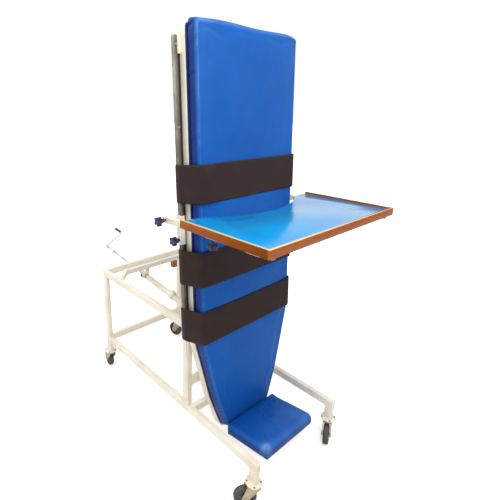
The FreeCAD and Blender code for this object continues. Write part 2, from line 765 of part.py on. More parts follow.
def build_crank():
    """Crank boss, arm and turning grip at the head end of the screw shaft."""
    boss = rod([-crank_reach + crank_boss_setback, 0, 0], [1, 0, 0], crank_boss_radius, crank_boss_long)
    boss = boss.cut(rod([-crank_reach, 0, 0], [1, 0, 0], crank_shaft_radius, crank_reach))
    hub = rod([-crank_reach - crank_arm_thick, 0, 0], [1, 0, 0], crank_hub_radius, crank_hub_long)
    bar = box([-crank_reach - crank_arm_thick, 0, -crank_arm_wide / 2],
              [-crank_reach, crank_radius, crank_arm_wide / 2])
    tip = rod([-crank_reach - crank_arm_thick, crank_radius, 0], [1, 0, 0], crank_arm_wide / 2,
              crank_arm_thick)
    arm = hub.fuse([bar, tip]).removeSplitter()
    arm = arm.cut(rod([-crank_reach, 0, 0], [1, 0, 0], crank_shaft_radius, crank_reach))
    grip_from = -crank_reach - crank_arm_thick - grip_gap
    spindle = rod([grip_from + grip_gap, crank_radius, 0], [-1, 0, 0], grip_spindle_radius,
                  grip_length + grip_gap)
    cap = rod([grip_from - grip_length, crank_radius, 0], [-1, 0, 0], 2 * grip_spindle_radius, grip_cap)
    cap = cap.fuse(rod([grip_from - grip_length + cut_over, crank_radius, 0], [-1, 0, 0],
                       grip_spindle_radius, cut_over))
    arm = arm.fuse([spindle, cap]).removeSplitter()

    hole = grip_spindle_radius + grip_running_gap
    end = grip_length - grip_gap
    belly = grip_radius
    pts = [Vector(0, hole, 0), Vector(0, grip_waist, 0), Vector(-end / 4, belly, 0),
           Vector(-end / 2, grip_waist, 0), Vector(-end * 3 / 4, belly, 0),
           Vector(-end, grip_waist, 0), Vector(-end, hole, 0)]
    edges = [Part.LineSegment(pts[0], pts[1]).toShape(),
             Part.Arc(pts[1], pts[2], pts[3]).toShape(),
             Part.Arc(pts[3], pts[4], pts[5]).toShape(),
             Part.LineSegment(pts[5], pts[6]).toShape(),
             Part.LineSegment(pts[6], pts[0]).toShape()]
    grip = Part.Face(Part.Wire(edges)).revolve(Vector(0, 0, 0), Vector(1, 0, 0), 360)
    grip.translate(Vector(grip_from, crank_radius, 0))
    turned = []
    for shape in (arm, grip):
        piece = shape.copy()
        piece.rotate(Vector(0, 0, 0), Vector(1, 0, 0), crank_angle)
        turned.append(on_screw(piece))
    add("crank_arm", [turned[0], on_screw(boss)])
    add("crank_grip", [turned[1]])


def star_knob(stem_length):
    """A five-lobed clamping knob on a threaded stem, pointing down its own +Z."""
    body = rod([0, 0, 0], [0, 0, 1], knob_lobe_ring, knob_thick)
    for i in range(knob_lobes):
        angle = 2 * math.pi * i / knob_lobes
        body = body.fuse(rod([knob_lobe_ring * math.cos(angle), knob_lobe_ring * math.sin(angle), 0],
                             [0, 0, 1], knob_lobe_radius, knob_thick))
    neck = rod([0, 0, knob_thick], [0, 0, 1], knob_neck_radius, knob_neck_long)
    stem = rod([0, 0, knob_thick], [0, 0, 1], knob_stem_radius, knob_neck_long + stem_length)
    return body.fuse([neck, stem]).removeSplitter()


def place_knob(knob, point, axis):
    """Put the outer face of the knob at a point, with its stem along an axis."""
    moved = knob.copy()
    turn = FreeCAD.Rotation(Vector(0, 0, 1), Vector(*axis))
    moved.Placement = FreeCAD.Placement(Vector(*point), turn)
    return moved


def build_carriage():
    """Sleeves on the side rails, receivers, arms and their knobs."""
    wall = sleeve_wall
    gap = sleeve_gap
    inner_y = packing_outer - sleeve_gap - sleeve_lip
    hole = [rail_back - gap, -rail_outer - gap, sleeve_low - cut_over]
    hole_end = [rail_front + gap, -packing_outer + gap, sleeve_low + sleeve_height + cut_over]
    body = box([rail_back - gap - wall, -sleeve_outer, sleeve_low],
               [rail_front + gap + wall, -inner_y, sleeve_low + sleeve_height])
    mid = rail_back + rail_deep / 2
    slot_half = packing_deep / 2 + 2 * gap
    body = body.cut(box(hole, hole_end))
    body = body.cut(box([mid - slot_half, -packing_outer - cut_over, sleeve_low - cut_over],
                        [mid + slot_half, -inner_y + cut_over, sleeve_low + sleeve_height + cut_over]))
    knob_w = sleeve_low + sleeve_knob_level
    stem_hole = knob_stem_radius + knob_stem_gap
    body = body.cut(rod([mid, -sleeve_outer - cut_over, knob_w], [0, 1, 0], stem_hole,
                        wall + 2 * cut_over))
    add("rail_sleeves", [on_board(s) for s in both_sides(body)])

    stem = knob_stand_off + wall + gap - knob_stem_tip_gap
    knob = star_knob(stem - knob_neck_long)
    knob = place_knob(knob, (mid, -rail_outer - knob_stem_tip_gap - stem - knob_thick, knob_w), (0, 1, 0))
    add("near_sleeve_knob", [on_board(knob)])
    add("far_sleeve_knob", [on_board(both_sides(knob)[1])])

    sleeve_x, _ = board_point(mid, sleeve_low + sleeve_height / 2)
    front = tray_rear() + tray_length
    rear = -arm_rear
    arm = hollow([rear, -arm_outer, arm_top - arm_side], [front - arm_front_setback, -arm_inner, arm_top],
                 0, arm_wall, arm_round)
    add("tray_arms", both_sides(arm))

    g = receiver_gap
    w = receiver_wall
    receiver = rounded_box([rear, -arm_outer - g - w, arm_top - arm_side - g - w],
                           [rear + receiver_length, -arm_inner + g + w, arm_top + g + w], 0, arm_round)
    receiver = receiver.cut(box([rear - cut_over, -arm_outer - g, arm_top - arm_side - g],
                                [rear + receiver_length + cut_over, -arm_inner + g, arm_top + g]))
    knob_x = rear + receiver_knob_setback
    receiver = receiver.cut(rod([knob_x, -arm_outer - g - w - cut_over, arm_mid], [0, 1, 0], stem_hole,
                                w + g + cut_over))
    block = box([sleeve_x - bridge_block_deep / 2, -arm_inner + g + w, arm_mid - bridge_block_high / 2],
                [sleeve_x + bridge_block_deep / 2, -sleeve_outer, arm_mid + bridge_block_high / 2])
    add("arm_receivers", both_sides(receiver.fuse(block).removeSplitter()))

    stem2 = arm_knob_stand_off + w + g - knob_stem_tip_gap
    knob2 = star_knob(stem2 - knob_neck_long)
    knob2 = place_knob(knob2, (knob_x, -arm_outer - knob_stem_tip_gap - stem2 - knob_thick, arm_mid),
                       (0, 1, 0))
    add("near_arm_knob", [knob2])
    add("far_arm_knob", [both_sides(knob2)[1]])


def tray_rear():
    """Working X of the tray's rear edge, just ahead of the pad at the tray's height."""
    w = (tray_top_height - tilt_height) / math.cos(lean) - pad_front * math.tan(lean)
    x, _ = board_point(pad_front, w)
    return x + tray_rear_gap


def build_tray():
    """Laminated tray panel with a belly cut-out, wooden lipping and slide guides on the arms."""
    x0 = tray_rear()
    x1 = x0 + tray_length
    half = tray_width / 2
    edge = half - lipping_thick
    low = panel_low

    def at(x, y):
        return Vector(x, y, low)

    panel_front = x1 - lipping_thick
    chord = cutout_half_chord
    edges = [Part.LineSegment(at(x0, -edge), at(panel_front, -edge)).toShape(),
             Part.LineSegment(at(panel_front, -edge), at(panel_front, edge)).toShape(),
             Part.LineSegment(at(panel_front, edge), at(x0, edge)).toShape(),
             Part.LineSegment(at(x0, edge), at(x0, chord)).toShape(),
             Part.Arc(at(x0, chord), at(x0 + cutout_depth, 0), at(x0, -chord)).toShape(),
             Part.LineSegment(at(x0, -chord), at(x0, -edge)).toShape()]
    panel = Part.Face(Part.Wire(edges)).extrude(Vector(0, 0, tray_panel_thick))
    tips = [e for e in panel.Edges if abs(e.tangentAt(e.FirstParameter).z) > along_share
            and abs(e.CenterOfMass.y) < edge and e.CenterOfMass.x < x0 + cutout_depth]
    panel = panel.makeFillet(panel_edge_round, tips)
    add("tray_panel", [panel])

    lip_low = tray_top_height - lipping_height
    side = box([x0, -half, lip_low], [x1 - lipping_thick, -edge, tray_top_height])
    front = box([panel_front, -half, lip_low], [x1, half, tray_top_height])
    add("tray_lipping", both_sides(side) + [front])

    g = guide_gap
    w = guide_wall
    guides = []
    for start in (x0 + guide_setback, x1 - guide_front_setback - guide_length):
        out = box([start, -arm_outer - g - w, arm_top - arm_side - g - w],
                  [start + guide_length, -arm_inner + g + w, low])
        out = out.cut(box([start - cut_over, -arm_outer - g, arm_top - arm_side - g],
                          [start + guide_length + cut_over, -arm_inner + g, low + cut_over]))
        guides.append(out)
    stem_hole = knob_stem_radius + knob_stem_gap
    knob_x = x0 + guide_setback + guide_length / 2
    under = arm_top - arm_side - g - w
    guides[0] = guides[0].cut(rod([knob_x, -arm_offset, under - cut_over], [0, 0, 1], stem_hole,
                                  w + g + cut_over))
    pairs = []
    for guide in guides:
        pairs.extend(both_sides(guide))
    add("tray_guides", pairs)
    stem = knob_stand_off + w + g - knob_stem_tip_gap
    knob = star_knob(stem - knob_neck_long)
    knob = place_knob(knob, (knob_x, -arm_offset, arm_top - arm_side - knob_stem_tip_gap - stem
                             - knob_thick), (0, 0, 1))
    add("near_tray_knob", [knob])
    add("far_tray_knob", [both_sides(knob)[1]])


def castor(turn):
    """Plate, fork, axle, wheel and tyre of one castor, with its swivel axis on Z and floor at 0."""
    plate_top = leg_foot_height
    plate = rod([0, 0, plate_top - swivel_plate_thick], [0, 0, 1], swivel_plate_radius,
                swivel_plate_thick)
    race_low = plate_top - swivel_plate_thick - swivel_race_high
    race = rod([0, 0, race_low], [0, 0, 1], swivel_race_radius, swivel_race_high)
    race = plate.fuse(race).removeSplitter()
    race = race.cut(rod([0, 0, 0], [0, 0, 1], kingpin_radius + kingpin_gap, plate_top + cut_over))
    bolts = []
    for i in range(plate_bolts):
        angle = math.pi / 4 + 2 * math.pi * i / plate_bolts
        bolts.append(rod([plate_bolt_ring * math.cos(angle), plate_bolt_ring * math.sin(angle),
                          plate_top - swivel_plate_thick - plate_bolt_head_thick], [0, 0, 1],
                         plate_bolt_head_radius, plate_bolt_head_thick))

    half = hub_wide / 2 + fork_gap
    crown_top = race_low - swivel_gap
    crown = rod([0, 0, crown_top - fork_thick], [0, 0, 1], swivel_race_radius + fork_thick, fork_thick)
    reach = swivel_trail
    y = -half - fork_thick
    leg = prism([(-fork_leg_top, y, crown_top), (fork_leg_top, y, crown_top),
                 (fork_leg_top, y, crown_top - fork_crown_drop),
                 (-reach + fork_leg_low, y, wheel_radius),
                 (-reach - fork_leg_low, y, wheel_radius)], (0, fork_thick, 0))
    leg = leg.fuse(rod([-reach, -half - fork_thick, wheel_radius], [0, 1, 0], fork_leg_low, fork_thick))
    leg = leg.removeSplitter().cut(rod([-reach, -half - 2 * fork_thick, wheel_radius], [0, 1, 0],
                                       axle_radius, 3 * fork_thick))
    roof = box([-fork_leg_top, -half, crown_top - fork_thick], [fork_leg_top, half, crown_top])
    kingpin = rod([0, 0, crown_top], [0, 0, 1], kingpin_radius,
                  plate_top - crown_top - swivel_gap)
    fork = crown.fuse([leg, leg.mirror(Vector(0, 0, 0), Vector(0, 1, 0)), roof, kingpin]).removeSplitter()

    axle = rod([-reach, -half - fork_thick, wheel_radius], [0, 1, 0], axle_radius,
               2 * (half + fork_thick))
    for side in (-1, 1):
        y = side * (half + fork_thick) - (axle_head_thick if side < 0 else 0)
        axle = axle.fuse(rod([-reach, y, wheel_radius], [0, 1, 0], axle_head_radius, axle_head_thick))
    axle = axle.removeSplitter()

    rim_radius = wheel_radius - tyre_thick
    centre = [-reach, 0, wheel_radius]

    def disc(radius, wide):
        return rod([centre[0], -wide / 2, centre[2]], [0, 1, 0], radius, wide)

    rim = disc(rim_radius, tyre_wide).cut(disc(rim_radius - fork_thick, 2 * tyre_wide))
    wheel = rim.fuse([disc(rim_radius - fork_thick, rim_web), disc(hub_radius, hub_wide)]).removeSplitter()
    wheel = wheel.cut(disc(axle_radius + axle_gap, 2 * hub_wide))
    tyre = disc(wheel_radius, tyre_wide)
    tyre = tyre.makeFillet(tyre_shoulder, [e for e in tyre.Edges if isinstance(e.Curve, Part.Circle)])
    tyre = tyre.cut(disc(rim_radius, 2 * tyre_wide))
    moved = []
    for shape in (fork, axle, wheel, tyre):
        piece = shape.copy()
        piece.rotate(Vector(0, 0, 0), Vector(0, 0, 1), turn + 180)
        moved.append(piece)
    return race, bolts, moved


def build_castors():
    """Four swivel castors, each with its own trailing direction in the photograph."""
    x_rear = -base_rear_reach + tube_deep / 2
    x_front = base_front_reach - tube_deep / 2
    y = half_base - tube_wide / 2
    places = {"near_rear": (x_rear, -y, near_rear_trail_turn),
              "far_rear": (x_rear, y, far_rear_trail_turn),
              "near_front": (x_front, -y, near_front_trail_turn),
              "far_front": (x_front, y, far_front_trail_turn)}
    plates = []
    all_bolts = []
    for name, (px, py, turn) in places.items():
        race, bolts, moving = castor(turn)
        race.translate(Vector(px, py, 0))
        plates.append(race)
        for bolt in bolts:
            bolt.translate(Vector(px, py, 0))
            all_bolts.append(bolt)
        for piece in moving:
            piece.translate(Vector(px, py, 0))
        add(name + "_fork", moving[:2])
        add(name + "_wheel", [moving[2]])
        add(name + "_tyre", [moving[3]])
    add("castor_plates", plates)
    add("castor_bolts", all_bolts)


build_base()
build_hoop()
build_hinge()
build_board_frame()
build_padding()
build_rails()
build_straps()
build_foot_plate()
build_screw()
build_crank()
build_carriage()
build_tray()
build_castors()

whole = Part.makeCompound(list(parts.values())).optimalBoundingBox(False, False)
origin = Vector(-(whole.XMin + whole.XMax) / 2, -(whole.YMin + whole.YMax) / 2, -whole.ZMin)
os.makedirs("parts", exist_ok=True)
for name, shape in parts.items():
    shape.translate(origin)
    shape.exportStep("parts/" + name + ".step")
    if not shape.isValid():
        print("not valid:", name)
print("nodes", len(parts))
print("tilt axis in the part's frame", round(origin.x, 3), round(tilt_height + origin.z, 3))
print("whole size", round(whole.XLength, 1), round(whole.YLength, 1), round(whole.ZLength, 1))
print("screw angle and span", [round(v, 5) for v in screw_frame()])
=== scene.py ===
import json
import math
import random

import bmesh
import bpy
from mathutils import Matrix, Vector
from mathutils.bvhtree import BVHTree


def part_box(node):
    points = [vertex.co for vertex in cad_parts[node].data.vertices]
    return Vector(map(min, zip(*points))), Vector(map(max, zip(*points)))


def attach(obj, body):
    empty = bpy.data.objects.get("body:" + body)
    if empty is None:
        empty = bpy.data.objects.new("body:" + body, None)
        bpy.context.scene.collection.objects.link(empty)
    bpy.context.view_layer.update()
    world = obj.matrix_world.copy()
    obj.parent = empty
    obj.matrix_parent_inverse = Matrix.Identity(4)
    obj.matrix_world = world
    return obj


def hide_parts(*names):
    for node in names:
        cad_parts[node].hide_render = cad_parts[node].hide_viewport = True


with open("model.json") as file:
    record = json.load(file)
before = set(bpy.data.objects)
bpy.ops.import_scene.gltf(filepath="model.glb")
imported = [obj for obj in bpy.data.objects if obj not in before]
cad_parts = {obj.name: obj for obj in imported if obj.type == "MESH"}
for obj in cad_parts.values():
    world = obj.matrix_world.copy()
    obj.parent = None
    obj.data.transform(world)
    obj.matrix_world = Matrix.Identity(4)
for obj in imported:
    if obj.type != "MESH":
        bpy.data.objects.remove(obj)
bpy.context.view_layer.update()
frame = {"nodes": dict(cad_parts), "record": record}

nodes = frame["nodes"]
MM = 0.001

# The tilt axis in the row frame, in millimetres, and how far the board leans back
AXIS_X = 424.249
AXIS_Z = 676.0
LEAN = math.radians(3.3)

# Places and sizes shared with the solids: millimetres from the axis, out of the board, across and up it
PLY_FRONT = 75.8
PAD_FRONT = 130.8
PAD_TOP = 1272.0
FOOT_HEEL = 134.0
FOOT_LOW = -581.0
FOOT_THICK = 57.4
FOOT_TOE = 392.8
FOOT_SLOPE = math.tan(math.radians(5.5))
FOOT_HALF = 182.0
HEEL_ROUND = 32.0
HALF_BOARD = 305.0
RAIL_BACK = 18.0
RAIL_FRONT = 40.0
RAIL_INNER = 321.0
RAIL_OUTER = 335.0
STRAP_WIDTH = 158.0
STRAP_THICK = 3.0
STRAP_GAP = 0.5
STRAP_ROUND = 26.0
STRAP_BEND_INSET = 0.7227
STRAP_TURN_IN = 4.5
RAIL_BEND = 8.0
HEM_BEND = 3.6
STRAP_CLEAR = 0.2
SELVEDGE = 7.0
STRAP_LEVELS = {"chest_strap": 672.0, "hip_strap": 311.0, "knee_strap": 37.0}


def on_board(u, y, w):
    """A point of the board, u out of the pad, y across and w up it, in the row frame."""
    x = u * math.cos(LEAN) - w * math.sin(LEAN)
    z = u * math.sin(LEAN) + w * math.cos(LEAN)
    return Vector(((AXIS_X + x) * MM, y * MM, (AXIS_Z + z) * MM))


def from_board(point):
    """The board's u, y and w of a point in the row frame."""
    x = point.x / MM - AXIS_X
    z = point.z / MM - AXIS_Z
    return (x * math.cos(LEAN) + z * math.sin(LEAN), point.y / MM,
            -x * math.sin(LEAN) + z * math.cos(LEAN))


# Materials

# Sockets of a Mix node that mixes colours
FIRST, SECOND, MIXED = 6, 7, 2
# A Wave node's bands are this share of its scale apart
BAND_SHARE = math.tau / 20


def colour(code):
    """An sRGB hex code as linear colour."""
    parts = [int(code[i:i + 2], 16) / 255 for i in (1, 3, 5)]
    return tuple(c / 12.92 if c <= 0.04045 else ((c + 0.055) / 1.055) ** 2.4 for c in parts) + (1.0,)


def add(tree, kind, inputs, **settings):
    """Add a node with its settings. An input takes a value, an output, or a node for its first output."""
    node = tree.nodes.new(kind)
    for key, value in settings.items():
        setattr(node, key, value)
    for key, value in inputs.items():
        if isinstance(value, bpy.types.Node):
            value = value.outputs[0]
        if isinstance(value, bpy.types.NodeSocket):
            tree.links.new(value, node.inputs[key])
        else:
            node.inputs[key].default_value = value
    return node


def per(size):
    """The scale of a pattern on object coordinates from its size in millimetres."""
    return 1 / (size * MM)


def begun(name):
    """A new material's empty node tree and its object coordinates."""
    material = bpy.data.materials.new(name)
    material.use_nodes = True
    tree = material.node_tree
    tree.nodes.clear()
    return tree, add(tree, "ShaderNodeTexCoord", {}).outputs["Object"]


def surfaced(name, tree, inputs):
    """End a material with its shader and give the material."""
    shader = add(tree, "ShaderNodeBsdfPrincipled", inputs)
    add(tree, "ShaderNodeOutputMaterial", {"Surface": shader})
    return bpy.data.materials[name]


def patches(tree, place, size, detail, low, high, least=0.0, most=1.0):
    """Noise of a size in millimetres, spread from least below the low level to most above the high."""
    noise = add(tree, "ShaderNodeTexNoise",
                {"Vector": place, "Scale": per(size), "Detail": detail, "Roughness": 0.55})
    return add(tree, "ShaderNodeMapRange", {"Value": noise, "From Min": low, "From Max": high,
                                            "To Min": least, "To Max": most})


def enamel(name, light, dark):
    """Sprayed steel enamel: orange peel in its gloss, faint soiling and specks of a duller tone."""
    tree, place = begun(name)
    soil = patches(tree, place, 140.0, 4.0, 0.42, 0.72)
    speck = patches(tree, place, 9.0, 2.0, 0.55, 0.75, 0.0, 0.35)
    worn = add(tree, "ShaderNodeMath", {0: soil, 1: speck}, operation="MAXIMUM")
    tone = add(tree, "ShaderNodeMix", {"Factor": worn, FIRST: colour(light), SECOND: colour(dark)},
               data_type="RGBA")
    peel = add(tree, "ShaderNodeTexNoise",
               {"Vector": place, "Scale": per(2.4), "Detail": 2.0, "Roughness": 0.55})
    relief = add(tree, "ShaderNodeBump", {"Height": peel, "Distance": 0.05 * MM, "Strength": 0.35})
    return surfaced(name, tree, {
        "Base Color": tone.outputs[MIXED], "Roughness": patches(tree, place, 35.0, 3.0, 0.0, 1.0, 0.28, 0.46),
        "Normal": relief, "Coat Weight": 0.35, "Coat Roughness": 0.12})


def steel(name, light, dark, rough, grain_sizes, metallic):
    """Drawn or plated metal: a fine grain along its long size and slow clouds in tone and gloss."""
    tree, place = begun(name)
    along = add(tree, "ShaderNodeMapping", {"Vector": place, "Scale": [per(s) for s in grain_sizes]})
    grain = add(tree, "ShaderNodeTexNoise", {"Vector": along, "Scale": 1.0, "Detail": 3.0, "Roughness": 0.6})
    cloud = add(tree, "ShaderNodeTexNoise",
                {"Vector": place, "Scale": per(60.0), "Detail": 3.0, "Roughness": 0.55})
    cloudy = add(tree, "ShaderNodeMapRange", {"Value": cloud, "From Min": 0.35, "From Max": 0.7})
    tone = add(tree, "ShaderNodeMix", {"Factor": cloudy, FIRST: colour(light), SECOND: colour(dark)},
               data_type="RGBA")
    uneven = add(tree, "ShaderNodeMath", {0: grain, 1: cloud}, operation="ADD")
    gloss = add(tree, "ShaderNodeMapRange", {"Value": uneven, "From Min": 0.6, "From Max": 1.4,
                                             "To Min": rough - 0.05, "To Max": rough + 0.14})
    relief = add(tree, "ShaderNodeBump", {"Height": grain, "Distance": 0.012 * MM, "Strength": 0.4})
    return surfaced(name, tree, {"Base Color": tone.outputs[MIXED], "Roughness": gloss, "Normal": relief,
                                 "Metallic": metallic})


def vinyl(name, light, dark, bloom, side_shade=None, highlight_and_wear=None):
    """Upholstery vinyl: leather grain, a soft gloss, sides painted darker as shade, and edges painted pale as
    a highlight with some wear.
    """
    tree, place = begun(name)
    slow = patches(tree, place, 420.0, 2.0, 0.35, 0.68)
    fine = patches(tree, place, 26.0, 3.0, 0.4, 0.8, 0.0, 0.24)
    tone = add(tree, "ShaderNodeMix", {"Factor": slow, FIRST: colour(light), SECOND: colour(dark)},
               data_type="RGBA")
    tone = add(tree, "ShaderNodeMix", {"Factor": fine, FIRST: tone.outputs[MIXED], SECOND: colour(bloom)},
               data_type="RGBA")
    # The covers' sides take a darker colour as painted shade, and their edges a paler one as painted
    # highlight, broken into patches like wear.
    if side_shade:
        edge = add(tree, "ShaderNodeAttribute", {}, attribute_name="side_shade").outputs["Fac"]
        # worn here is the painted edge highlight with its wear, read from the covers' attribute
        worn = add(tree, "ShaderNodeAttribute", {}, attribute_name="highlight_and_wear").outputs["Fac"]
        patchy = patches(tree, place, 90.0, 3.0, 0.35, 0.6, 0.55, 1.0)
        patchy_highlight_and_wear = add(tree, "ShaderNodeMath", {0: worn, 1: patchy}, operation="MULTIPLY")
        tone = add(tree, "ShaderNodeMix",
                   {"Factor": edge, FIRST: tone.outputs[MIXED], SECOND: colour(side_shade)}, data_type="RGBA")
        tone = add(tree, "ShaderNodeMix",
                   {"Factor": patchy_highlight_and_wear, FIRST: tone.outputs[MIXED], SECOND: colour(highlight_and_wear)}, data_type="RGBA")
    pebbles = add(tree, "ShaderNodeTexVoronoi", {"Vector": place, "Scale": per(1.3)})
    relief = add(tree, "ShaderNodeBump", {"Height": pebbles, "Distance": 0.12 * MM, "Strength": 0.35})
    slack = add(tree, "ShaderNodeTexNoise",
                {"Vector": place, "Scale": per(38.0), "Detail": 3.0, "Roughness": 0.55})
    relief = add(tree, "ShaderNodeBump",
                 {"Height": slack, "Distance": 1.2 * MM, "Strength": 0.25, "Normal": relief})
    return surfaced(name, tree, {
        "Base Color": tone.outputs[MIXED], "Roughness": patches(tree, place, 55.0, 3.0, 0.0, 1.0, 0.34, 0.46),
        "Normal": relief, "Specular IOR Level": 0.1})


def webbing(name, light, dark, bloom):
    """Woven webbing: ribs 1.9 mm apart, picks 1.3 mm apart across them, and a worn bloom."""
    tree, place = begun(name)
    ribs = add(tree, "ShaderNodeTexWave",
               {"Vector": place, "Scale": BAND_SHARE * per(1.885), "Distortion": 0.3},
               bands_direction="Z")
    picks = add(tree, "ShaderNodeTexWave",
                {"Vector": place, "Scale": BAND_SHARE * per(1.2566), "Distortion": 0.3},
                bands_direction="Y")
    weave = add(tree, "ShaderNodeMath", {0: ribs.outputs["Fac"], 1: picks.outputs["Fac"]},
                operation="MULTIPLY")
    worn = patches(tree, place, 75.0, 4.0, 0.38, 0.72)
    faded = add(tree, "ShaderNodeMath", {0: worn, 1: 0.55}, operation="MULTIPLY")
    tone = add(tree, "ShaderNodeMix", {"Factor": weave, FIRST: colour(dark), SECOND: colour(light)},
               data_type="RGBA")
    tone = add(tree, "ShaderNodeMix", {"Factor": faded, FIRST: tone.outputs[MIXED], SECOND: colour(bloom)},
               data_type="RGBA")
    gloss = add(tree, "ShaderNodeMapRange", {"Value": worn, "To Min": 0.62, "To Max": 0.86})
    relief = add(tree, "ShaderNodeBump", {"Height": weave, "Distance": 0.5 * MM, "Strength": 0.6})
    sag = add(tree, "ShaderNodeTexNoise",
              {"Vector": place, "Scale": per(30.0), "Detail": 2.0, "Roughness": 0.55})
    relief = add(tree, "ShaderNodeBump",
                 {"Height": sag, "Distance": 1.0 * MM, "Strength": 0.3, "Normal": relief})
    return surfaced(name, tree, {"Base Color": tone.outputs[MIXED], "Roughness": gloss, "Normal": relief,
                                 "Specular IOR Level": 0.12})


def timber(name, light, dark, grain_sizes, top=None):
    """Varnished wood: long fibres, slower year rings, and on the tray a paler tone on the faces that look up.
    """
    tree, place = begun(name)
    along = add(tree, "ShaderNodeMapping", {"Vector": place, "Scale": [per(s) for s in grain_sizes]})
    grain = add(tree, "ShaderNodeTexNoise", {"Vector": along, "Scale": 1.0, "Detail": 5.0, "Roughness": 0.65})
    rings = add(tree, "ShaderNodeTexNoise",
                {"Vector": along, "Scale": 1 / 6, "Detail": 2.0, "Roughness": 0.5})
    fibres = add(tree, "ShaderNodeMapRange", {"Value": grain, "From Min": 0.35, "From Max": 0.7})
    late = add(tree, "ShaderNodeMapRange", {"Value": rings, "From Min": 0.4, "From Max": 0.7, "To Max": 0.45})
    tone = add(tree, "ShaderNodeMix", {"Factor": fibres, FIRST: colour(light), SECOND: colour(dark)},
               data_type="RGBA")
    tone = add(tree, "ShaderNodeMix", {"Factor": late, FIRST: tone.outputs[MIXED], SECOND: colour(dark)},
               data_type="RGBA")
    if top:
        # Faces that look up are mixed towards the paler top colour.
        faces = add(tree, "ShaderNodeNewGeometry", {}).outputs["Normal"]
        upward = add(tree, "ShaderNodeSeparateXYZ", {"Vector": faces}).outputs["Z"]
        on_top = add(tree, "ShaderNodeMapRange", {"Value": upward, "From Min": 0.6, "From Max": 0.95})
        tone = add(tree, "ShaderNodeMix", {"Factor": on_top, FIRST: tone.outputs[MIXED], SECOND: colour(top)},
                   data_type="RGBA")
    gloss = add(tree, "ShaderNodeMapRange", {"Value": grain, "To Min": 0.28, "To Max": 0.45})
    relief = add(tree, "ShaderNodeBump", {"Height": grain, "Distance": 0.08 * MM, "Strength": 0.4})
    return surfaced(name, tree, {"Base Color": tone.outputs[MIXED], "Roughness": gloss, "Normal": relief,
                                 "Specular IOR Level": 0.3})


def moulding(name, light, dark, rough, grain=1.2, depth=0.04):
    """Moulded plastic or rubber: a fine grain and small clouds in tone and gloss."""
    tree, place = begun(name)
    cloudy = patches(tree, place, 22.0, 3.0, 0.35, 0.7)
    tone = add(tree, "ShaderNodeMix", {"Factor": cloudy, FIRST: colour(light), SECOND: colour(dark)},
               data_type="RGBA")
    gloss = patches(tree, place, 12.0, 3.0, 0.0, 1.0, rough - 0.06, rough + 0.1)
    texture = add(tree, "ShaderNodeTexNoise",
                  {"Vector": place, "Scale": per(grain), "Detail": 2.0, "Roughness": 0.55})
    relief = add(tree, "ShaderNodeBump", {"Height": texture, "Distance": depth * MM, "Strength": 0.5})
    return surfaced(name, tree, {"Base Color": tone.outputs[MIXED], "Roughness": gloss, "Normal": relief})


def laminate(name, light, dark):
    """Decorative laminate: a hard clear face, a faint pebble and hand marks in the gloss."""
    tree, place = begun(name)
    cloudy = patches(tree, place, 180.0, 3.0, 0.35, 0.7)
    tone = add(tree, "ShaderNodeMix", {"Factor": cloudy, FIRST: colour(light), SECOND: colour(dark)},
               data_type="RGBA")
    pebbles = add(tree, "ShaderNodeTexVoronoi", {"Vector": place, "Scale": per(0.9)})
    relief = add(tree, "ShaderNodeBump", {"Height": pebbles, "Distance": 0.03 * MM, "Strength": 0.4})
    return surfaced(name, tree, {
        "Base Color": tone.outputs[MIXED], "Roughness": patches(tree, place, 70.0, 4.0, 0.0, 1.0, 0.16, 0.3),
        "Normal": relief, "Coat Weight": 0.5, "Coat Roughness": 0.12, "Specular IOR Level": 0.9})


PLATED = (3.0, 3.0, 3.0)
LOOKS = {
    "cream": enamel("cream_enamel", "#f7f0e0", "#e6dabf"),
    "rail": steel("polished_rail_steel", "#857d73", "#5f574e", 0.42, (0.4, 0.4, 40.0), 0.4),
    "zinc": steel("zinc_plated_steel", "#dad9d2", "#b4b3aa", 0.34, PLATED, 0.6),
    "castor": steel("plated_castor_steel", "#cbbfa6", "#a3977f", 0.3, PLATED, 0.75),
    "dark_zinc": steel("dulled_zinc_steel", "#77746b", "#55524b", 0.45, PLATED, 0.7),
    "bronze": steel("bronze_nut_metal", "#b08d57", "#8a6a3c", 0.36, (2.0, 2.0, 2.0), 1.0),
    # The last two colours are the painted shade of the cushions' sides and the painted highlight, with some
    # wear, of their edges.
    "vinyl": vinyl("blue_upholstery_vinyl", "#065cb6", "#0852a6", "#0c62bb", "#1d3a80", "#7ea8df"),
    "navy": vinyl("navy_covered_edge", "#1b2a6b", "#141f52", "#26387d"),
    "webbing": webbing("dark_brown_webbing", "#524040", "#281d1f", "#4a3930"),
    "thread": moulding("strap_stitch_thread", "#43332f", "#2a1f1e", 0.7, 0.6, 0.05),
    "laminate": laminate("azure_tray_laminate", "#0599da", "#048bca"),
    "lipping": timber("varnished_tray_lipping", "#bb6413", "#8a4407", (60.0, 60.0, 1.6), "#d9c39c"),
    "block": timber("varnished_hoop_block", "#bd7938", "#8d5628", (2.0, 30.0, 2.0)),
    "knob": moulding("violet_knob_plastic", "#37305f", "#241f47", 0.3),
    "grip": moulding("black_grip_plastic", "#1c1c1d", "#0f0f10", 0.42),
    # The packing strip between rail and frame is black as painted shade of the deep gap there.
    "packing": moulding("packing_strip_black_as_painted_shade", "#17171b", "#0d0d10", 0.6),
    "wheel": moulding("dark_castor_wheel", "#5b534a", "#423b34", 0.45, 1.0, 0.05),
    "tyre": moulding("grey_castor_rubber", "#534c44", "#38332e", 0.62, 0.8, 0.08),
}

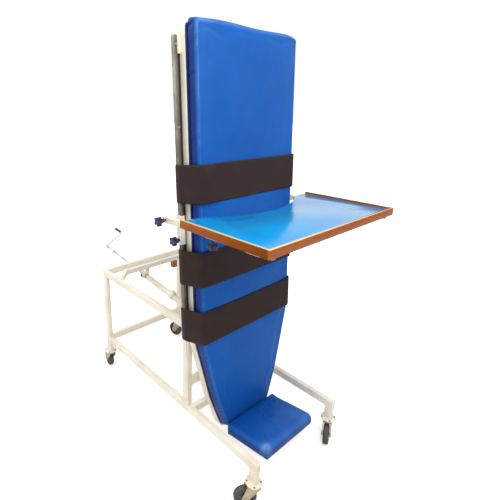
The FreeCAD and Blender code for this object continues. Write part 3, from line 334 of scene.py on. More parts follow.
# The look of each of the part's material slots
BY_SLOT = {
    "cream_paint": "cream", "polished_rail": "rail", "zinc_steel": "zinc", "bronze_nut": "bronze",
    "blue_vinyl": "vinyl", "navy_board": "navy", "dark_webbing": "webbing",
    "blue_laminate": "laminate", "oiled_wood": "lipping", "orange_wood": "block",
    "violet_plastic": "knob", "black_grip": "grip", "black_packing": "packing", "grey_tyre": "tyre",
    "dark_wheel": "wheel",
}


def dress(obj, material):
    """Give a piece one material."""
    obj.data.materials.clear()
    obj.data.materials.append(material)


WELD_WITHIN = 0.02 * MM
SHARP_ANGLE = math.radians(32)


def soften(obj, width, segments):
    """Round the edges of a solid and shade it smooth."""
    weld = obj.modifiers.new("joined_corners", "WELD")
    weld.merge_threshold = WELD_WITHIN
    bevel = obj.modifiers.new("rounded_edges", "BEVEL")
    bevel.width = width * MM
    bevel.segments = segments
    bevel.limit_method = "ANGLE"
    bevel.angle_limit = SHARP_ANGLE
    bevel.harden_normals = True
    obj.data.shade_smooth()


def crisp(obj):
    """Shade curved faces smooth and keep the edges of a thin or jointed solid sharp."""
    weld = obj.modifiers.new("joined_corners", "WELD")
    weld.merge_threshold = WELD_WITHIN
    split = obj.modifiers.new("sharp_edges", "EDGE_SPLIT")
    split.split_angle = SHARP_ANGLE
    obj.data.shade_smooth()


# Edge roundings in millimetres; a tube that isn't named has the rounded corners of drawn tube
TUBE_EDGE = 2.4
EDGES = {"hoop_buffer": 2.5, "tray_lipping": 1.2, "tray_panel": 0.5, "base_board": 2.0,
         "castor_plates": 0.8, "rail_screws": 0.6, "castor_bolts": 0.8, "side_rails": 0.6,
         "rail_packing": 0.6, "lead_screw": 0.5, "crank_arm": 1.2, "crank_grip": 0.8,
         "screw_nut": 0.8, "trunnion": 1.2, "hinge_bolts": 1.2, "rail_sleeves": 1.2,
         "foot_plate": 0.8, "foot_hangers": 0.8, "screw_hanger": 1.0, "screw_lever": 1.2,
         "hinge_lugs": 1.0, "nut_tube": 0.8, "tube_eye": 1.5}

for entry in frame["record"]["subparts"]:
    name = entry["node"]
    look = "castor" if name.endswith("_fork") else BY_SLOT[entry["material_slot"]]
    dress(nodes[name], LOOKS[look])
    if "knob" in name:
        soften(nodes[name], 1.6, 3)
    elif name.endswith(("_fork", "_wheel", "_tyre")):
        crisp(nodes[name])
    else:
        soften(nodes[name], EDGES.get(name, TUBE_EDGE), 2 if name in EDGES else 3)


def new_piece(name, verts, faces, material, body):
    """A mesh piece in the row frame that rides on a body."""
    mesh = bpy.data.meshes.new(name)
    mesh.from_pydata([tuple(v) for v in verts], [], faces)
    mesh.update()
    shape = bmesh.new()
    shape.from_mesh(mesh)
    bmesh.ops.recalc_face_normals(shape, faces=shape.faces)
    shape.to_mesh(mesh)
    shape.free()
    obj = bpy.data.objects.new(name, mesh)
    bpy.context.scene.collection.objects.link(obj)
    dress(obj, material)
    mesh.shade_smooth()
    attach(obj, body)
    return obj


# Small shapes set along paths or on points

def settle(obj):
    """Make the modifiers' result the mesh itself."""
    bpy.context.view_layer.update()
    graph = bpy.context.evaluated_depsgraph_get()
    mesh = bpy.data.meshes.new_from_object(obj.evaluated_get(graph))
    obj.modifiers.clear()
    obj.data = mesh


def repeating_tree(along):
    """A node tree that sets rounded grains on points, or at even steps along a path."""
    tree = bpy.data.node_groups.new("grains_along_a_path" if along else "grains_on_points",
                                    "GeometryNodeTree")
    sockets = {}
    for title, kind in (("Geometry", "Geometry"), ("Spacing", "Float"), ("Size", "Vector"),
                        ("Material", "Material")):
        made = tree.interface.new_socket(title, in_out="INPUT", socket_type="NodeSocket" + kind)
        sockets[title] = made.identifier
    tree.interface.new_socket("Geometry", in_out="OUTPUT", socket_type="NodeSocketGeometry")
    given = add(tree, "NodeGroupInput", {})
    points = given
    run = add(tree, "GeometryNodeInputNamedAttribute", {"Name": "run"}, data_type="FLOAT_VECTOR")
    if along:
        curve = add(tree, "GeometryNodeMeshToCurve", {"Mesh": points})
        points = add(tree, "GeometryNodeResampleCurve",
                     {"Curve": curve, "Length": given.outputs["Spacing"]}, mode="LENGTH")
        run = add(tree, "GeometryNodeInputTangent", {})
    outward = add(tree, "GeometryNodeInputNamedAttribute", {"Name": "outward"}, data_type="FLOAT_VECTOR")
    up = add(tree, "FunctionNodeAlignRotationToVector", {"Vector": outward}, axis="Z")
    turn = add(tree, "FunctionNodeAlignRotationToVector", {"Rotation": up, "Vector": run},
               axis="X", pivot_axis="Z")
    grain = add(tree, "GeometryNodeMeshUVSphere", {"Segments": 8, "Rings": 5, "Radius": 0.5})
    placed = add(tree, "GeometryNodeInstanceOnPoints", {"Points": points, "Instance": grain,
                                                        "Rotation": turn, "Scale": given.outputs["Size"]})
    smooth = add(tree, "GeometryNodeSetShadeSmooth",
                 {"Geometry": add(tree, "GeometryNodeRealizeInstances", {"Geometry": placed})})
    dressed = add(tree, "GeometryNodeSetMaterial",
                  {"Geometry": smooth, "Material": given.outputs["Material"]})
    add(tree, "NodeGroupOutput", {"Geometry": dressed})
    return tree, sockets


ALONG_PATH = repeating_tree(True)
ON_POINTS = repeating_tree(False)


def grown(name, mesh, repeating, spacing, size, look, body):
    """Run a repeating tree on a mesh and keep the result as a piece on a body."""
    tree, sockets = repeating
    obj = bpy.data.objects.new(name, mesh)
    bpy.context.scene.collection.objects.link(obj)
    modifier = obj.modifiers.new("repeated", "NODES")
    modifier.node_group = tree
    modifier[sockets["Spacing"]] = spacing * MM
    modifier[sockets["Size"]] = [s * MM for s in size]
    modifier[sockets["Material"]] = LOOKS[look]
    settle(obj)
    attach(obj, body)
    return obj


def stored(mesh, title, values):
    """Keep a vector for each point of a mesh under a title."""
    layer = mesh.attributes.new(title, "FLOAT_VECTOR", "POINT")
    for i, value in enumerate(values):
        layer.data[i].vector = value


def set_along(name, paths, spacing, size, look, body):
    """Grains at even steps along paths of (place, outward) pairs; sizes in millimetres."""
    mesh = bpy.data.meshes.new(name)
    places = [pair for path in paths for pair in path]
    edges = []
    first = 0
    for path in paths:
        edges.extend((first + i, first + i + 1) for i in range(len(path) - 1))
        first += len(path)
    mesh.from_pydata([place for place, _ in places], edges, [])
    stored(mesh, "outward", [outward for _, outward in places])
    return grown(name, mesh, ALONG_PATH, spacing, size, look, body)


def set_on(name, places, size, look, body):
    """Grains on single places of (place, run, outward); sizes in millimetres."""
    mesh = bpy.data.meshes.new(name)
    mesh.from_pydata([place for place, _, _ in places], [], [])
    stored(mesh, "run", [run for _, run, _ in places])
    stored(mesh, "outward", [outward for _, _, outward in places])
    return grown(name, mesh, ON_POINTS, 1.0, size, look, body)


# Upholstery

class Skin:
    """The surface of a solid, to measure how deep or proud of it a point lies."""

    def __init__(self, mesh):
        self.tree = BVHTree.FromPolygons([v.co for v in mesh.vertices], [p.vertices for p in mesh.polygons])

    def onto(self, point):
        """The nearest point of the surface."""
        return self.tree.find_nearest(point)[0]

    def banded(self, point, deepest, proudest):
        """The point moved so that it lies no deeper and no prouder than allowed."""
        place, normal, _, _ = self.tree.find_nearest(point)
        out = (point - place).dot(normal)
        if out < -deepest * MM:
            return place - normal * deepest * MM
        if out > proudest * MM:
            return place + normal * proudest * MM
        return point


def upholster(name, node, voxel, pressure, cap, inset, held, finish):
    """A cushion from its solid: remeshed, set in, blown up a little as cloth, capped and finished.

    Sizes are in millimetres. held tells which points stay on the board, and finish takes each point
    and the solid's skin.
    """
    source = nodes[node].data.copy()
    shape = bmesh.new()
    shape.from_mesh(source)
    bmesh.ops.remove_doubles(shape, verts=shape.verts, dist=WELD_WITHIN)
    bmesh.ops.recalc_face_normals(shape, faces=shape.faces)
    shape.to_mesh(source)
    shape.free()
    skin = Skin(source)
    obj = bpy.data.objects.new(name, source)
    bpy.context.scene.collection.objects.link(obj)
    remesh = obj.modifiers.new("even_cover", "REMESH")
    remesh.mode = "VOXEL"
    remesh.voxel_size = voxel * MM
    smooth = obj.modifiers.new("eased_cover", "SMOOTH")
    smooth.iterations = 2
    smooth.factor = 0.4
    settle(obj)
    for v in obj.data.vertices:
        v.co = skin.onto(v.co)
    rest = [v.co.copy() for v in obj.data.vertices]
    start = [v.co - v.normal * inset * MM for v in obj.data.vertices]
    for v, place in zip(obj.data.vertices, start):
        v.co = place
    pins = obj.vertex_groups.new(name="held_to_board")
    pins.add([i for i, co in enumerate(rest) if held(co)], 1.0, "REPLACE")
    puff(obj, pressure)
    for v, first in zip(obj.data.vertices, start):
        move = v.co - first
        if move.length > cap * MM:
            v.co = first + move.normalized() * cap * MM
    obj.vertex_groups.clear()
    even = obj.modifiers.new("creases_evened", "SMOOTH")
    even.iterations = 8
    even.factor = 0.5
    finer = obj.modifiers.new("finer_skin", "SUBSURF")
    finer.levels = 1
    finer.render_levels = 1
    settle(obj)
    for v in obj.data.vertices:
        v.co = finish(v.co, skin)
    obj.data.shade_smooth()
    return obj


PUFF_FRAMES = 20


def puff(obj, pressure):
    """Blow the cover up as cloth for some frames, without gravity, and keep the result."""
    cloth = obj.modifiers.new("stuffing", "CLOTH")
    settings = cloth.settings
    settings.quality = 5
    settings.mass = 0.3
    settings.tension_stiffness = 30
    settings.compression_stiffness = 30
    settings.shear_stiffness = 10
    settings.bending_stiffness = 2.0
    settings.use_pressure = True
    settings.uniform_pressure_force = pressure
    settings.vertex_group_mass = "held_to_board"
    settings.effector_weights.gravity = 0.0
    cloth.point_cache.frame_start = 1
    cloth.point_cache.frame_end = PUFF_FRAMES
    for step in range(1, PUFF_FRAMES + 1):
        bpy.context.scene.frame_set(step)
    settle(obj)
    bpy.context.scene.frame_set(1)


# A face that looks less than this along a cushion's own direction belongs to its sides
SIDE_FACING = 0.5


class Slab:
    """A cushion's flat form: its sides, where its underside lies, the way its face looks, its thickness."""

    def __init__(self, node, under, face, thick):
        mesh = nodes[node].data
        sides = [p.vertices for p in mesh.polygons if abs(p.normal.dot(face)) < SIDE_FACING]
        self.sides = BVHTree.FromPolygons([v.co for v in mesh.vertices], sides)
        self.under = under
        self.face = face
        self.thick = thick

    def eased(self, point, reach, drop, from_top=True):
        """The point drawn in over an edge that is rounded by a reach along the slab and a drop across it."""
        level = (point - self.under).dot(self.face) / MM
        middle = point + self.face * (self.thick / 2 - level) * MM
        place, normal, _, _ = self.sides.find_nearest(middle)
        inset = (place - middle).dot(normal) / MM
        height = level if from_top else self.thick - level
        arm = Vector(((reach - inset) / reach, (height - (self.thick - drop)) / drop))
        if arm.x > 0.0 and arm.y > 0.0 and arm.length > 1.0:
            drawn = arm.normalized()
            fall = (arm.y - drawn.y) * drop * (-1.0 if from_top else 1.0)
            return point + self.face * fall * MM - normal * (arm.x - drawn.x) * reach * MM
        return point


# How far the cover looks along the cushion's face where the painted shade of its sides begins, and where the
# painted highlight on its edges lies
SIDE_SHADE_FROM = 0.72
SIDE_SHADE_FADE = 0.5
EDGE_FACING = 0.78
EDGE_SPREAD = 0.17


def shade_cover(obj, slab, highlight_and_wear_rule):
    """Store how far each point takes the painted shade of the sides and the painted highlight with wear of
    the edges, from the way it faces.
    """
    side_shade = obj.data.attributes.new("side_shade", "FLOAT", "POINT")
    highlight_and_wear = obj.data.attributes.new("highlight_and_wear", "FLOAT", "POINT")
    for v in obj.data.vertices:
        facing = v.normal.dot(slab.face)
        side_shade.data[v.index].value = min(1.0, max(0.0, (SIDE_SHADE_FROM - facing) / SIDE_SHADE_FADE))
        highlight_and_wear.data[v.index].value = highlight_and_wear_rule(*from_board(v.co), dent(facing - EDGE_FACING, EDGE_SPREAD))


def dent(distance, size):
    """A smooth hollow that fades out over a size."""
    return math.exp(-(distance / size) ** 2)


# Level up the board, side and depth of the pleats in the mattress's sides
PLEATS = [(1243.0, -1, 2.6), (1212.0, 1, 1.6), (1075.0, -1, 3.0), (1012.0, -1, 1.2), (880.0, 1, 2.0),
          (835.0, -1, 1.4), (560.0, -1, 1.3), (470.0, 1, 1.8), (180.0, -1, 1.5), (-130.0, -1, 2.0),
          (-262.0, 1, 1.6), (-345.0, -1, 1.4), (-470.0, -1, 1.8)]


def board_way(u, y, w):
    """A direction of the board in the row frame."""
    return (on_board(u, y, w) - on_board(0.0, 0.0, 0.0)).normalized()


MATTRESS = Slab("mattress", on_board(PLY_FRONT, 0.0, 0.0), board_way(1.0, 0.0, 0.0), PAD_FRONT - PLY_FRONT)
FOOT_PAD = Slab("foot_pad", on_board(FOOT_HEEL, 0.0, FOOT_LOW), board_way(-FOOT_SLOPE, 0.0, 1.0),
                FOOT_THICK)


def pulled_in(u, y, near):
    """Draw the cushion's corner in under a strap, by how near the strap is."""
    side = 1.0 if y > 0.0 else -1.0
    corner = Vector((PAD_FRONT - STRAP_ROUND, HALF_BOARD - STRAP_BEND_INSET * STRAP_ROUND))
    arm = Vector((u, abs(y))) - corner
    if near > 0.0 and arm.x > 0.0 and arm.y > 0.0:
        spare = arm.length - (STRAP_ROUND + STRAP_CLEAR)
        if spare > 0.0:
            arm -= arm.normalized() * spare * near
            return corner.x + arm.x, side * (corner.y + arm.y)
    return u, y


# The head end's wave: the length that it moves, two swells on the near side and a fall at the far corner
HEAD_ZONE = 160.0
SWELL, SWELL_SIDE, SWELL_WIDE = 8.0, -150.0, 130.0
BACK_SWELL, BACK_SWELL_WIDE = 10.0, 160.0
FALL, FALL_SIDE, FALL_WIDE = 12.0, 215.0, 90.0


def head_wave(u, y, w):
    """How far the head end of the cover is pushed up or pulled down."""
    head = min(1.0, max(0.0, (w - PAD_TOP + HEAD_ZONE) / HEAD_ZONE)) ** 2
    behind = (PAD_FRONT - u) / (PAD_FRONT - PLY_FRONT)
    swell = SWELL * dent(y - SWELL_SIDE, SWELL_WIDE)
    back_swell = BACK_SWELL * behind * dent(y + HALF_BOARD, BACK_SWELL_WIDE)
    fall = FALL * min(1.0, max(0.0, (y - FALL_SIDE) / FALL_WIDE)) ** 2
    return head * (swell + back_swell - fall)


# Painted highlight with some wear on the cushions' edges: a share everywhere, more near the head's corners;
# on the foot pad, painted reflection towards the toe and a painted highlight at its near toe corner
EVEN_EDGE_HIGHLIGHT, HEAD_HIGHLIGHT = 0.2, 0.4
HEAD_HIGHLIGHT_LONG, HEAD_HIGHLIGHT_WIDE = 330.0, 70.0
TOE_REFLECTION, TOE_REFLECTION_FROM, FOOT_EDGE_HIGHLIGHT = 0.34, 40.0, 0.05
TOE_CORNER_IN, TOE_CORNER_WIDE = 22.0, 20.0


def mattress_highlight_and_wear(u, y, w, edge):
    """Painted highlight with some wear along the long edges, most of all at the corners of the head."""
    return edge * (EVEN_EDGE_HIGHLIGHT + HEAD_HIGHLIGHT * dent(PAD_TOP - w, HEAD_HIGHLIGHT_LONG)
                   * dent(HALF_BOARD - abs(y), HEAD_HIGHLIGHT_WIDE))


def foot_pad_highlight_and_reflection(u, y, w, edge):
    """Painted reflection lighter towards the toe and the far side, a faint painted highlight on the edges,
    and a painted highlight at the near toe corner.
    """
    # The toe term paints reflection, stronger on the far side; the corner term paints a highlight.
    toe = min(1.0, max(0.0, (u - FOOT_HEEL - TOE_REFLECTION_FROM) / (FOOT_TOE - FOOT_HEEL)))
    corner = dent(math.hypot(u - FOOT_TOE + TOE_CORNER_IN, y + FOOT_HALF - TOE_CORNER_IN), TOE_CORNER_WIDE)
    return min(1.0, TOE_REFLECTION * toe * (0.6 + 0.4 * y / FOOT_HALF) + FOOT_EDGE_HIGHLIGHT * edge + corner)


# How deep and how proud of its solid the mattress's cover may lie, and the rounding of its edge
COVER_DEEP, COVER_PROUD = 0.9, 1.8
MATTRESS_REACH, MATTRESS_DROP = 38.0, 22.0
# A pleat: how much its level rises through the pad, its fold, and the ridge above it
PLEAT_SLANT, PLEAT_WIDE = 0.45, 6.0
RIDGE_SHARE, RIDGE_OFF, RIDGE_WIDE = 0.5, 14.0, 8.0
PLEAT_ZONE = 60.0
# The slack of the seam at the head
SEAM_SLACK, SEAM_WIDE, SEAM_WAVE = 1.6, 14.0, 47.0
# The face's room over its solid, how much of it a strap presses down, and how far off that begins
FACE_ROOM, STRAP_PRESS, STRAP_NEAR = 2.0, 2.6, 45.0
PLY_ROOM = 0.4


def finish_mattress(point, skin):
    """Keep the cover near its solid, off the ply and the straps, with small pleats in its sides."""
    point = skin.banded(point, COVER_DEEP, COVER_PROUD)
    u, y, w = from_board(MATTRESS.eased(point, MATTRESS_REACH, MATTRESS_DROP))
    w += head_wave(u, y, w)
    back = min(1.0, max(0.0, (PAD_FRONT - 8.0 - u) / 30.0))
    for level, side, depth in PLEATS:
        if y * side > 0.0 and abs(w - level) < PLEAT_ZONE:
            slant = (u - PLY_FRONT) * PLEAT_SLANT
            fold = (dent(w - level - slant, PLEAT_WIDE)
                    - RIDGE_SHARE * dent(w - level - slant - RIDGE_OFF, RIDGE_WIDE))
            if abs(y) > HALF_BOARD - 90.0 or w < -60.0:
                y -= side * depth * back * fold
    w -= SEAM_SLACK * dent(w - PAD_TOP, SEAM_WIDE) * (0.5 + 0.5 * math.sin(y / SEAM_WAVE)) * back
    top = PAD_FRONT + FACE_ROOM
    for level in STRAP_LEVELS.values():
        near = max(0.0, 1.0 - max(0.0, abs(w - level) - STRAP_WIDTH / 2) / STRAP_NEAR)
        top = min(top, PAD_FRONT + FACE_ROOM - STRAP_PRESS * near * near)
        u, y = pulled_in(u, y, near)
    u = min(max(u, PLY_FRONT + PLY_ROOM), top)
    return on_board(u, y, w)


mattress = upholster("mattress_cover", "mattress", voxel=10.0, pressure=4.0, cap=6.0, inset=2.0,
                     held=lambda point: from_board(point)[0] < PLY_FRONT + 5.0, finish=finish_mattress)
shade_cover(mattress, MATTRESS, mattress_highlight_and_wear)
dress(mattress, LOOKS["vinyl"])
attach(mattress, "board")
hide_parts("mattress")

foot_low, foot_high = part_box("foot_pad")
# How deep and how proud of its solid the foot pad's cover may lie, and the rounding of its edges
FOOT_COVER_DEEP, FOOT_COVER_PROUD = 0.1, 0.4
FOOT_TOP_REACH, FOOT_TOP_DROP = 40.0, 30.0
FOOT_UNDER_REACH, FOOT_UNDER_DROP = 22.0, 16.0
# The share of that rounding that the heel keeps, and the length over which it grows
HEEL_SHARE, HEEL_LONG = 0.6, 40.0


def on_foot_plate(point, room):
    """Whether a point of the foot pad lies within some room of the steel plate under it."""
    u, _, w = from_board(point)
    return w < FOOT_LOW + room + (u - FOOT_HEEL) * FOOT_SLOPE


def finish_foot_pad(point, skin):
    """Keep the foot pad inside its box, with sharper edges and round corners at its heel."""
    point = skin.banded(point, FOOT_COVER_DEEP, FOOT_COVER_PROUD)
    from_heel = (from_board(point)[0] - FOOT_HEEL) / HEEL_LONG
    soft = HEEL_SHARE + (1.0 - HEEL_SHARE) * min(1.0, max(0.0, from_heel))
    point = FOOT_PAD.eased(point, FOOT_TOP_REACH * soft, FOOT_TOP_DROP * soft)
    point = FOOT_PAD.eased(point, FOOT_UNDER_REACH * soft, FOOT_UNDER_DROP * soft, from_top=False)
    u, y, w = from_board(point)
    arm = Vector((FOOT_HEEL + HEEL_ROUND - u, abs(y) - FOOT_HALF + HEEL_ROUND))
    if arm.x > 0.0 and arm.y > 0.0 and arm.length > HEEL_ROUND:
        arm *= HEEL_ROUND / arm.length
        y = math.copysign(FOOT_HALF - HEEL_ROUND + arm.y, y)
        point = on_board(FOOT_HEEL + HEEL_ROUND - arm.x, y, w)
    return Vector([min(max(point[i], foot_low[i]), foot_high[i]) for i in range(3)])


foot_cover = upholster("foot_pad_cover", "foot_pad", voxel=6.0, pressure=4.0, cap=5.0, inset=1.6,
                       held=lambda point: on_foot_plate(point, 3.0), finish=finish_foot_pad)
shade_cover(foot_cover, FOOT_PAD, foot_pad_highlight_and_reflection)
dress(foot_cover, LOOKS["vinyl"])
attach(foot_cover, "board")
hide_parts("foot_pad")


# Straps

def rounded_path(corners, radii, arc_steps=8, step=14.0):
    """Points along a run of straight lines with rounded corners, with even steps on the lines."""
    points = [Vector(corners[0])]

    def run_to(end):
        start = points[-1]
        count = max(1, int((end - start).length / step))
        for i in range(1, count + 1):
            points.append(start.lerp(end, i / count))

    for before, corner, after, radius in zip(corners, corners[1:], corners[2:], radii):
        a = (Vector(before) - Vector(corner)).normalized()
        b = (Vector(after) - Vector(corner)).normalized()
        half = a.angle(b) / 2
        reach = radius / math.tan(half)
        centre = Vector(corner) + (a + b).normalized() * radius / math.sin(half)
        first = Vector(corner) + a * reach
        last = Vector(corner) + b * reach
        run_to(first)
        r0 = first - centre
        r1 = last - centre
        turn = r0.angle_signed(r1)
        for i in range(1, arc_steps + 1):
            t = -turn * i / arc_steps
            points.append(centre + Matrix.Rotation(t, 2) @ r0)
    run_to(Vector(corners[-1]))
    return points


def strap_line():
    """The line of a strap's inner face round pad and rails, in the board's u and y."""
    g = STRAP_GAP
    end = RAIL_INNER + STRAP_TURN_IN
    corners = [(RAIL_BACK - g, -end), (RAIL_BACK - g, -RAIL_OUTER - g),
               (RAIL_FRONT + g, -RAIL_OUTER - g), (PAD_FRONT + g, -HALF_BOARD - g),
               (PAD_FRONT + g, HALF_BOARD + g), (RAIL_FRONT + g, RAIL_OUTER + g),
               (RAIL_BACK - g, RAIL_OUTER + g), (RAIL_BACK - g, end)]
    return rounded_path(corners, [HEM_BEND, RAIL_BEND, STRAP_ROUND, STRAP_ROUND, RAIL_BEND, HEM_BEND])


def board_flat(n):
    """An outward direction given in the board's u and y, in the row frame."""
    return board_way(n.x, n.y, 0.0).to_tuple()


def strap_normals(line):
    """Outward directions along a line."""
    made = []
    for i in range(len(line)):
        along = (line[min(i + 1, len(line) - 1)] - line[max(i - 1, 0)]).normalized()
        made.append(Vector((along.y, -along.x)))
    return made


# A strap's selvedge begins this far in and thins to this share of its thickness
SELVEDGE_WIDE, SELVEDGE_SHARE = 3.0, 0.55
# Half the width over which a strap hangs free, and the lengths of its waves
FREE_HALF = 290.0
CROSS_WAVE, LONG_BOW, CROSS_BOW = 21.0, 330.0, 60.0
STITCH_STEP = 5.0
STITCH_SIZE = (3.6, 1.1, 0.9)
STITCH_LIFT = 0.15
# Cross seams lie on the strap's way from the rails to the pad, between these places out of the board
SEAM_FROM, SEAM_TO = 60.0, 100.0


def make_strap(name, level, seed):
    """A webbing strap with rounded selvedges and a slight pull between its holds."""
    rng = random.Random(seed)
    line = strap_line()
    outward = strap_normals(line)
    columns = 26
    waves = [(rng.uniform(0.6, 1.3), rng.uniform(90, 260), rng.uniform(0, 6.3)) for _ in range(4)]
    verts = []
    travelled = 0.0
    for i, (p, n) in enumerate(zip(line, outward)):
        if i:
            travelled += (p - line[i - 1]).length
        slack = 0.25 * sum(a * math.sin(travelled / l * 6.283 + c) for a, l, c in waves)
        free = 1.0 if abs(p.y) < FREE_HALF else 0.0
        for side in (0, 1):
            for k in range(columns + 1):
                t = k / columns
                across = (t - 0.5) * STRAP_WIDTH
                edge = min(t, 1 - t) * STRAP_WIDTH
                full = min(1.0, edge / SELVEDGE_WIDE)
                thick = STRAP_THICK * (SELVEDGE_SHARE + (1.0 - SELVEDGE_SHARE) * full)
                lift = free * (0.5 + 0.5 * math.sin(across / CROSS_WAVE + slack)) * 0.3 * abs(slack)
                bow = free * 0.8 * math.sin(travelled / LONG_BOW + across / CROSS_BOW) * (0.2 + abs(t - 0.5))
                out = lift + (thick if side else 0.0)
                q = p + n * out
                verts.append(on_board(q.x, q.y, level + across + bow * 1.5 + slack * 0.6))
    row = columns + 1
    faces = []
    for i in range(len(line) - 1):
        a = i * 2 * row
        b = a + 2 * row
        for k in range(columns):
            faces.append((a + k, a + k + 1, b + k + 1, b + k))
            faces.append((a + row + k, b + row + k, b + row + k + 1, a + row + k + 1))
        faces.append((a, b, b + row, a + row))
        faces.append((a + columns, a + row + columns, b + row + columns, b + columns))
    last = (len(line) - 1) * 2 * row
    for k in range(columns):
        faces.append((k, row + k, row + k + 1, k + 1))
        faces.append((last + k, last + k + 1, last + row + k + 1, last + row + k))
    obj = new_piece(name + "_webbing", verts, faces, LOOKS["webbing"], "board")
    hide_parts(name)
    stitches = make_stitches(name, level, line, outward)


def make_stitches(name, level, line, outward):
    """Rows of thread along both selvedges and across the strap at the rails."""
    raised = [(p + n * (STRAP_THICK + STITCH_LIFT), board_flat(n)) for p, n in zip(line, outward)]
    edge = STRAP_WIDTH / 2 - SELVEDGE
    paths = [[(on_board(q.x, q.y, level + offset).to_tuple(), n) for q, n in raised]
             for offset in (-edge, edge)]
    seams = [i for i, p in enumerate(line) if SEAM_FROM < p.x < SEAM_TO]
    for i in seams[1:-1:2]:
        q, n = raised[i]
        ends = (level - edge + 2.0, level + edge - 2.0)
        paths.append([(on_board(q.x, q.y, w).to_tuple(), n) for w in ends])
    return set_along(name + "_stitches", paths, STITCH_STEP, STITCH_SIZE, "thread", "board")


for number, (strap_name, strap_level) in enumerate(STRAP_LEVELS.items()):
    make_strap(strap_name, strap_level, 11 + number)


# Nuts and welds

UP = (0.0, 0.0, 1.0)
FORWARD = (1.0, 0.0, 0.0)
PLATE_RADIUS = 37.0
PLATE_BOLT_STEP = 21.57
TRUNNION_BACK = 788.5
TRUNNION_LEVEL = 579.5
CHEEK_OUTER = 24.0
RAIL_WIDE = 25.0
NUT_SIZE = (9.0, 9.0, 7.0)
NUT_LIFT = 0.5
PIN_NUT_SIZE = (20.0, 20.0, 12.0)
PIN_NUT_LIFT = 1.0
BEAD_SET_IN = 0.7
BEAD_STEP = 2.4
BEAD_SIZE = (3.6, 3.6, 3.0)


def castor_nuts():
    """Domed nuts on the castor plates, at the corners of the tubes' feet."""
    low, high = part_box("castor_plates")
    step = PLATE_BOLT_STEP * MM
    top = high.z + NUT_LIFT * MM
    places = []
    for x in (low.x + PLATE_RADIUS * MM, high.x - PLATE_RADIUS * MM):
        for y in (low.y + PLATE_RADIUS * MM, high.y - PLATE_RADIUS * MM):
            for side_x in (-1, 1):
                for side_y in (-1, 1):
                    places.append(((x + side_x * step, y + side_y * step, top), FORWARD, UP))
    nuts = set_on("castor_nuts", places, NUT_SIZE, "dark_zinc", "base")


def trunnion_nuts():
    """Domed nuts over the ends of the trunnion's pins."""
    places = []
    for side in (-1, 1):
        place = ((AXIS_X - TRUNNION_BACK) * MM, side * (CHEEK_OUTER + PIN_NUT_LIFT) * MM, TRUNNION_LEVEL * MM)
        places.append((place, FORWARD, (0.0, float(side), 0.0)))
    nuts = set_on("trunnion_nuts", places, PIN_NUT_SIZE, "dark_zinc", "screw_mount")


def ring(middle, half_one, half_two):
    """A closed path of (place, outward) pairs round a rectangle given by its middle and half sides."""
    path = []
    for one, two in ((-1, -1), (1, -1), (1, 1), (-1, 1), (-1, -1)):
        corner = half_one * one + half_two * two
        path.append(((middle + corner).to_tuple(), corner.normalized().to_tuple()))
    return path


def weld_beads():
    """Dressed welds where rails, cross tubes, posts and legs of the base meet."""
    rings = []
    wide = (RAIL_WIDE / 2 - BEAD_SET_IN) * MM
    levels = {}
    for node, ends in (("upper_rails", 2), ("lower_rails", 1)):
        low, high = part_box(node)
        levels[node] = (low.z + high.z) / 2
        tall = Vector((0.0, 0.0, (high.z - low.z) / 2 - BEAD_SET_IN * MM))
        for x in (low.x, high.x)[:ends]:
            for y in (low.y + RAIL_WIDE / 2 * MM, high.y - RAIL_WIDE / 2 * MM):
                rings.append(ring(Vector((x, y, levels[node])), Vector((0.0, wide, 0.0)), tall))
    for node, end in (("mid_posts", 0), ("front_legs", 1)):
        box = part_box(node)
        low, high = box
        long = Vector(((high.x - low.x) / 2 - BEAD_SET_IN * MM, 0.0, 0.0))
        for y in (low.y + RAIL_WIDE / 2 * MM, high.y - RAIL_WIDE / 2 * MM):
            middle = Vector(((low.x + high.x) / 2, y, box[end].z))
            rings.append(ring(middle, Vector((0.0, wide, 0.0)), long))
    low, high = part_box("cross_tubes")
    for x, node in ((low.x + RAIL_WIDE / 2 * MM, "upper_rails"), (low.x + RAIL_WIDE / 2 * MM, "lower_rails"),
                    (high.x - RAIL_WIDE / 2 * MM, "lower_rails")):
        for y in (low.y, high.y):
            rings.append(ring(Vector((x, y, levels[node])), Vector((wide, 0.0, 0.0)), tall))
    beads = set_along("weld_beads", rings, BEAD_STEP, BEAD_SIZE, "cream", "base")


castor_nuts()
trunnion_nuts()
weld_beads()


# Light, floor and camera

def surround():
    """A white surround that lights the object evenly and shows white in metal and glass."""
    world = bpy.data.worlds.new("studio")
    bpy.context.scene.world = world
    world.use_nodes = True
    tree = world.node_tree
    tree.nodes.clear()
    path = add(tree, "ShaderNodeLightPath", {})
    either = add(tree, "ShaderNodeMath",
                 {0: path.outputs["Is Camera Ray"], 1: path.outputs["Is Glossy Ray"]}, operation="MAXIMUM")
    seen = add(tree, "ShaderNodeMath", {0: either, 1: path.outputs["Is Transmission Ray"]},
               operation="MAXIMUM")
    warm = add(tree, "ShaderNodeBackground", {"Color": (1.0, 0.985, 0.96, 1.0), "Strength": 0.55})
    white = add(tree, "ShaderNodeBackground", {"Color": (1.0, 1.0, 1.0, 1.0), "Strength": 1.0})
    mixed = add(tree, "ShaderNodeMixShader", {"Fac": seen, 1: warm, 2: white})
    add(tree, "ShaderNodeOutputWorld", {"Surface": mixed})


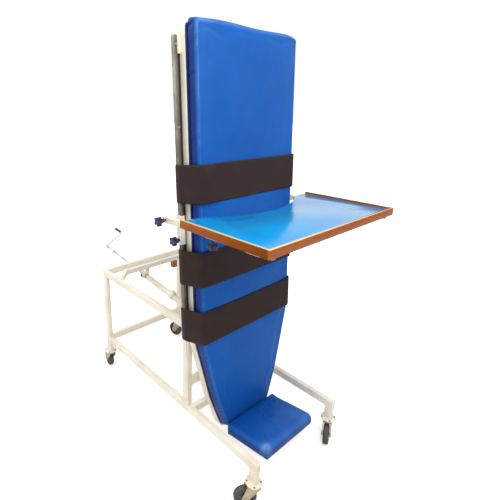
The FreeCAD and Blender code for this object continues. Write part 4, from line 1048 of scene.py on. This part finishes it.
def floor():
    """A white floor that keeps a soft shadow near the object and fades into the white further out."""
    mesh = bpy.data.meshes.new("studio_floor")
    reach = 30.0
    corners = [(-reach, -reach, 0.0), (reach, -reach, 0.0), (reach, reach, 0.0), (-reach, reach, 0.0)]
    mesh.from_pydata(corners, [], [(0, 1, 2, 3)])
    obj = bpy.data.objects.new("studio_floor", mesh)
    bpy.context.scene.collection.objects.link(obj)
    tree, place = begun("studio_floor_white")
    away = add(tree, "ShaderNodeVectorMath", {0: place}, operation="LENGTH").outputs["Value"]
    fade = add(tree, "ShaderNodeMapRange", {"Value": away, "From Min": 0.9, "From Max": 2.2,
                                            "To Min": 0.42, "To Max": 1.0})
    seen = add(tree, "ShaderNodeLightPath", {}).outputs["Is Camera Ray"]
    glow = add(tree, "ShaderNodeMath", {0: seen, 1: fade}, operation="MULTIPLY")
    obj.data.materials.append(surfaced("studio_floor_white", tree, {
        "Base Color": (0.93, 0.93, 0.93, 1.0), "Roughness": 1.0, "Specular IOR Level": 0.0,
        "Emission Color": (1.0, 1.0, 1.0, 1.0), "Emission Strength": glow}))


def lamp(name, place, target, size, watts):
    """A square soft lamp at a place, turned to a target."""
    data = bpy.data.lights.new(name, "AREA")
    data.shape = "SQUARE"
    data.size = size
    data.energy = watts
    obj = bpy.data.objects.new(name, data)
    obj.location = place
    obj.rotation_euler = (Vector(target) - Vector(place)).to_track_quat("-Z", "Y").to_euler()
    bpy.context.scene.collection.objects.link(obj)


def camera():
    """The photograph's view, solved from the straight edges of the base and the board."""
    data = bpy.data.cameras.new("photo_view")
    data.sensor_width = 36.0
    data.lens = 28.12
    data.shift_x = 0.1364
    data.shift_y = -0.035
    data.clip_start = 0.05
    data.clip_end = 100.0
    obj = bpy.data.objects.new("photo_view", data)
    obj.location = ((AXIS_X + 1223.9) * MM, -1321.3 * MM, 1653.4 * MM)
    yaw = math.radians(50.81)
    down = math.radians(17.99)
    look = Vector((-math.sin(yaw) * math.cos(down), math.cos(yaw) * math.cos(down), -math.sin(down)))
    obj.rotation_euler = look.to_track_quat("-Z", "Y").to_euler()
    bpy.context.scene.collection.objects.link(obj)
    bpy.context.scene.camera = obj


surround()
floor()
lamp("key_soft", (1.9, -0.9, 4.1), (0.5, 0.0, 1.1), 1.6, 88.0)
lamp("fill_soft", (3.4, 2.4, 2.4), (0.4, 0.0, 0.9), 2.6, 16.0)
lamp("near_soft", (-0.3, -3.6, 2.4), (-0.1, 0.0, 0.8), 2.6, 19.0)
lamp("back_soft", (-3.2, -1.5, 3.4), (0.0, 0.0, 0.8), 2.4, 58.0)
camera()
bpy.context.scene.view_settings.view_transform = "Standard"
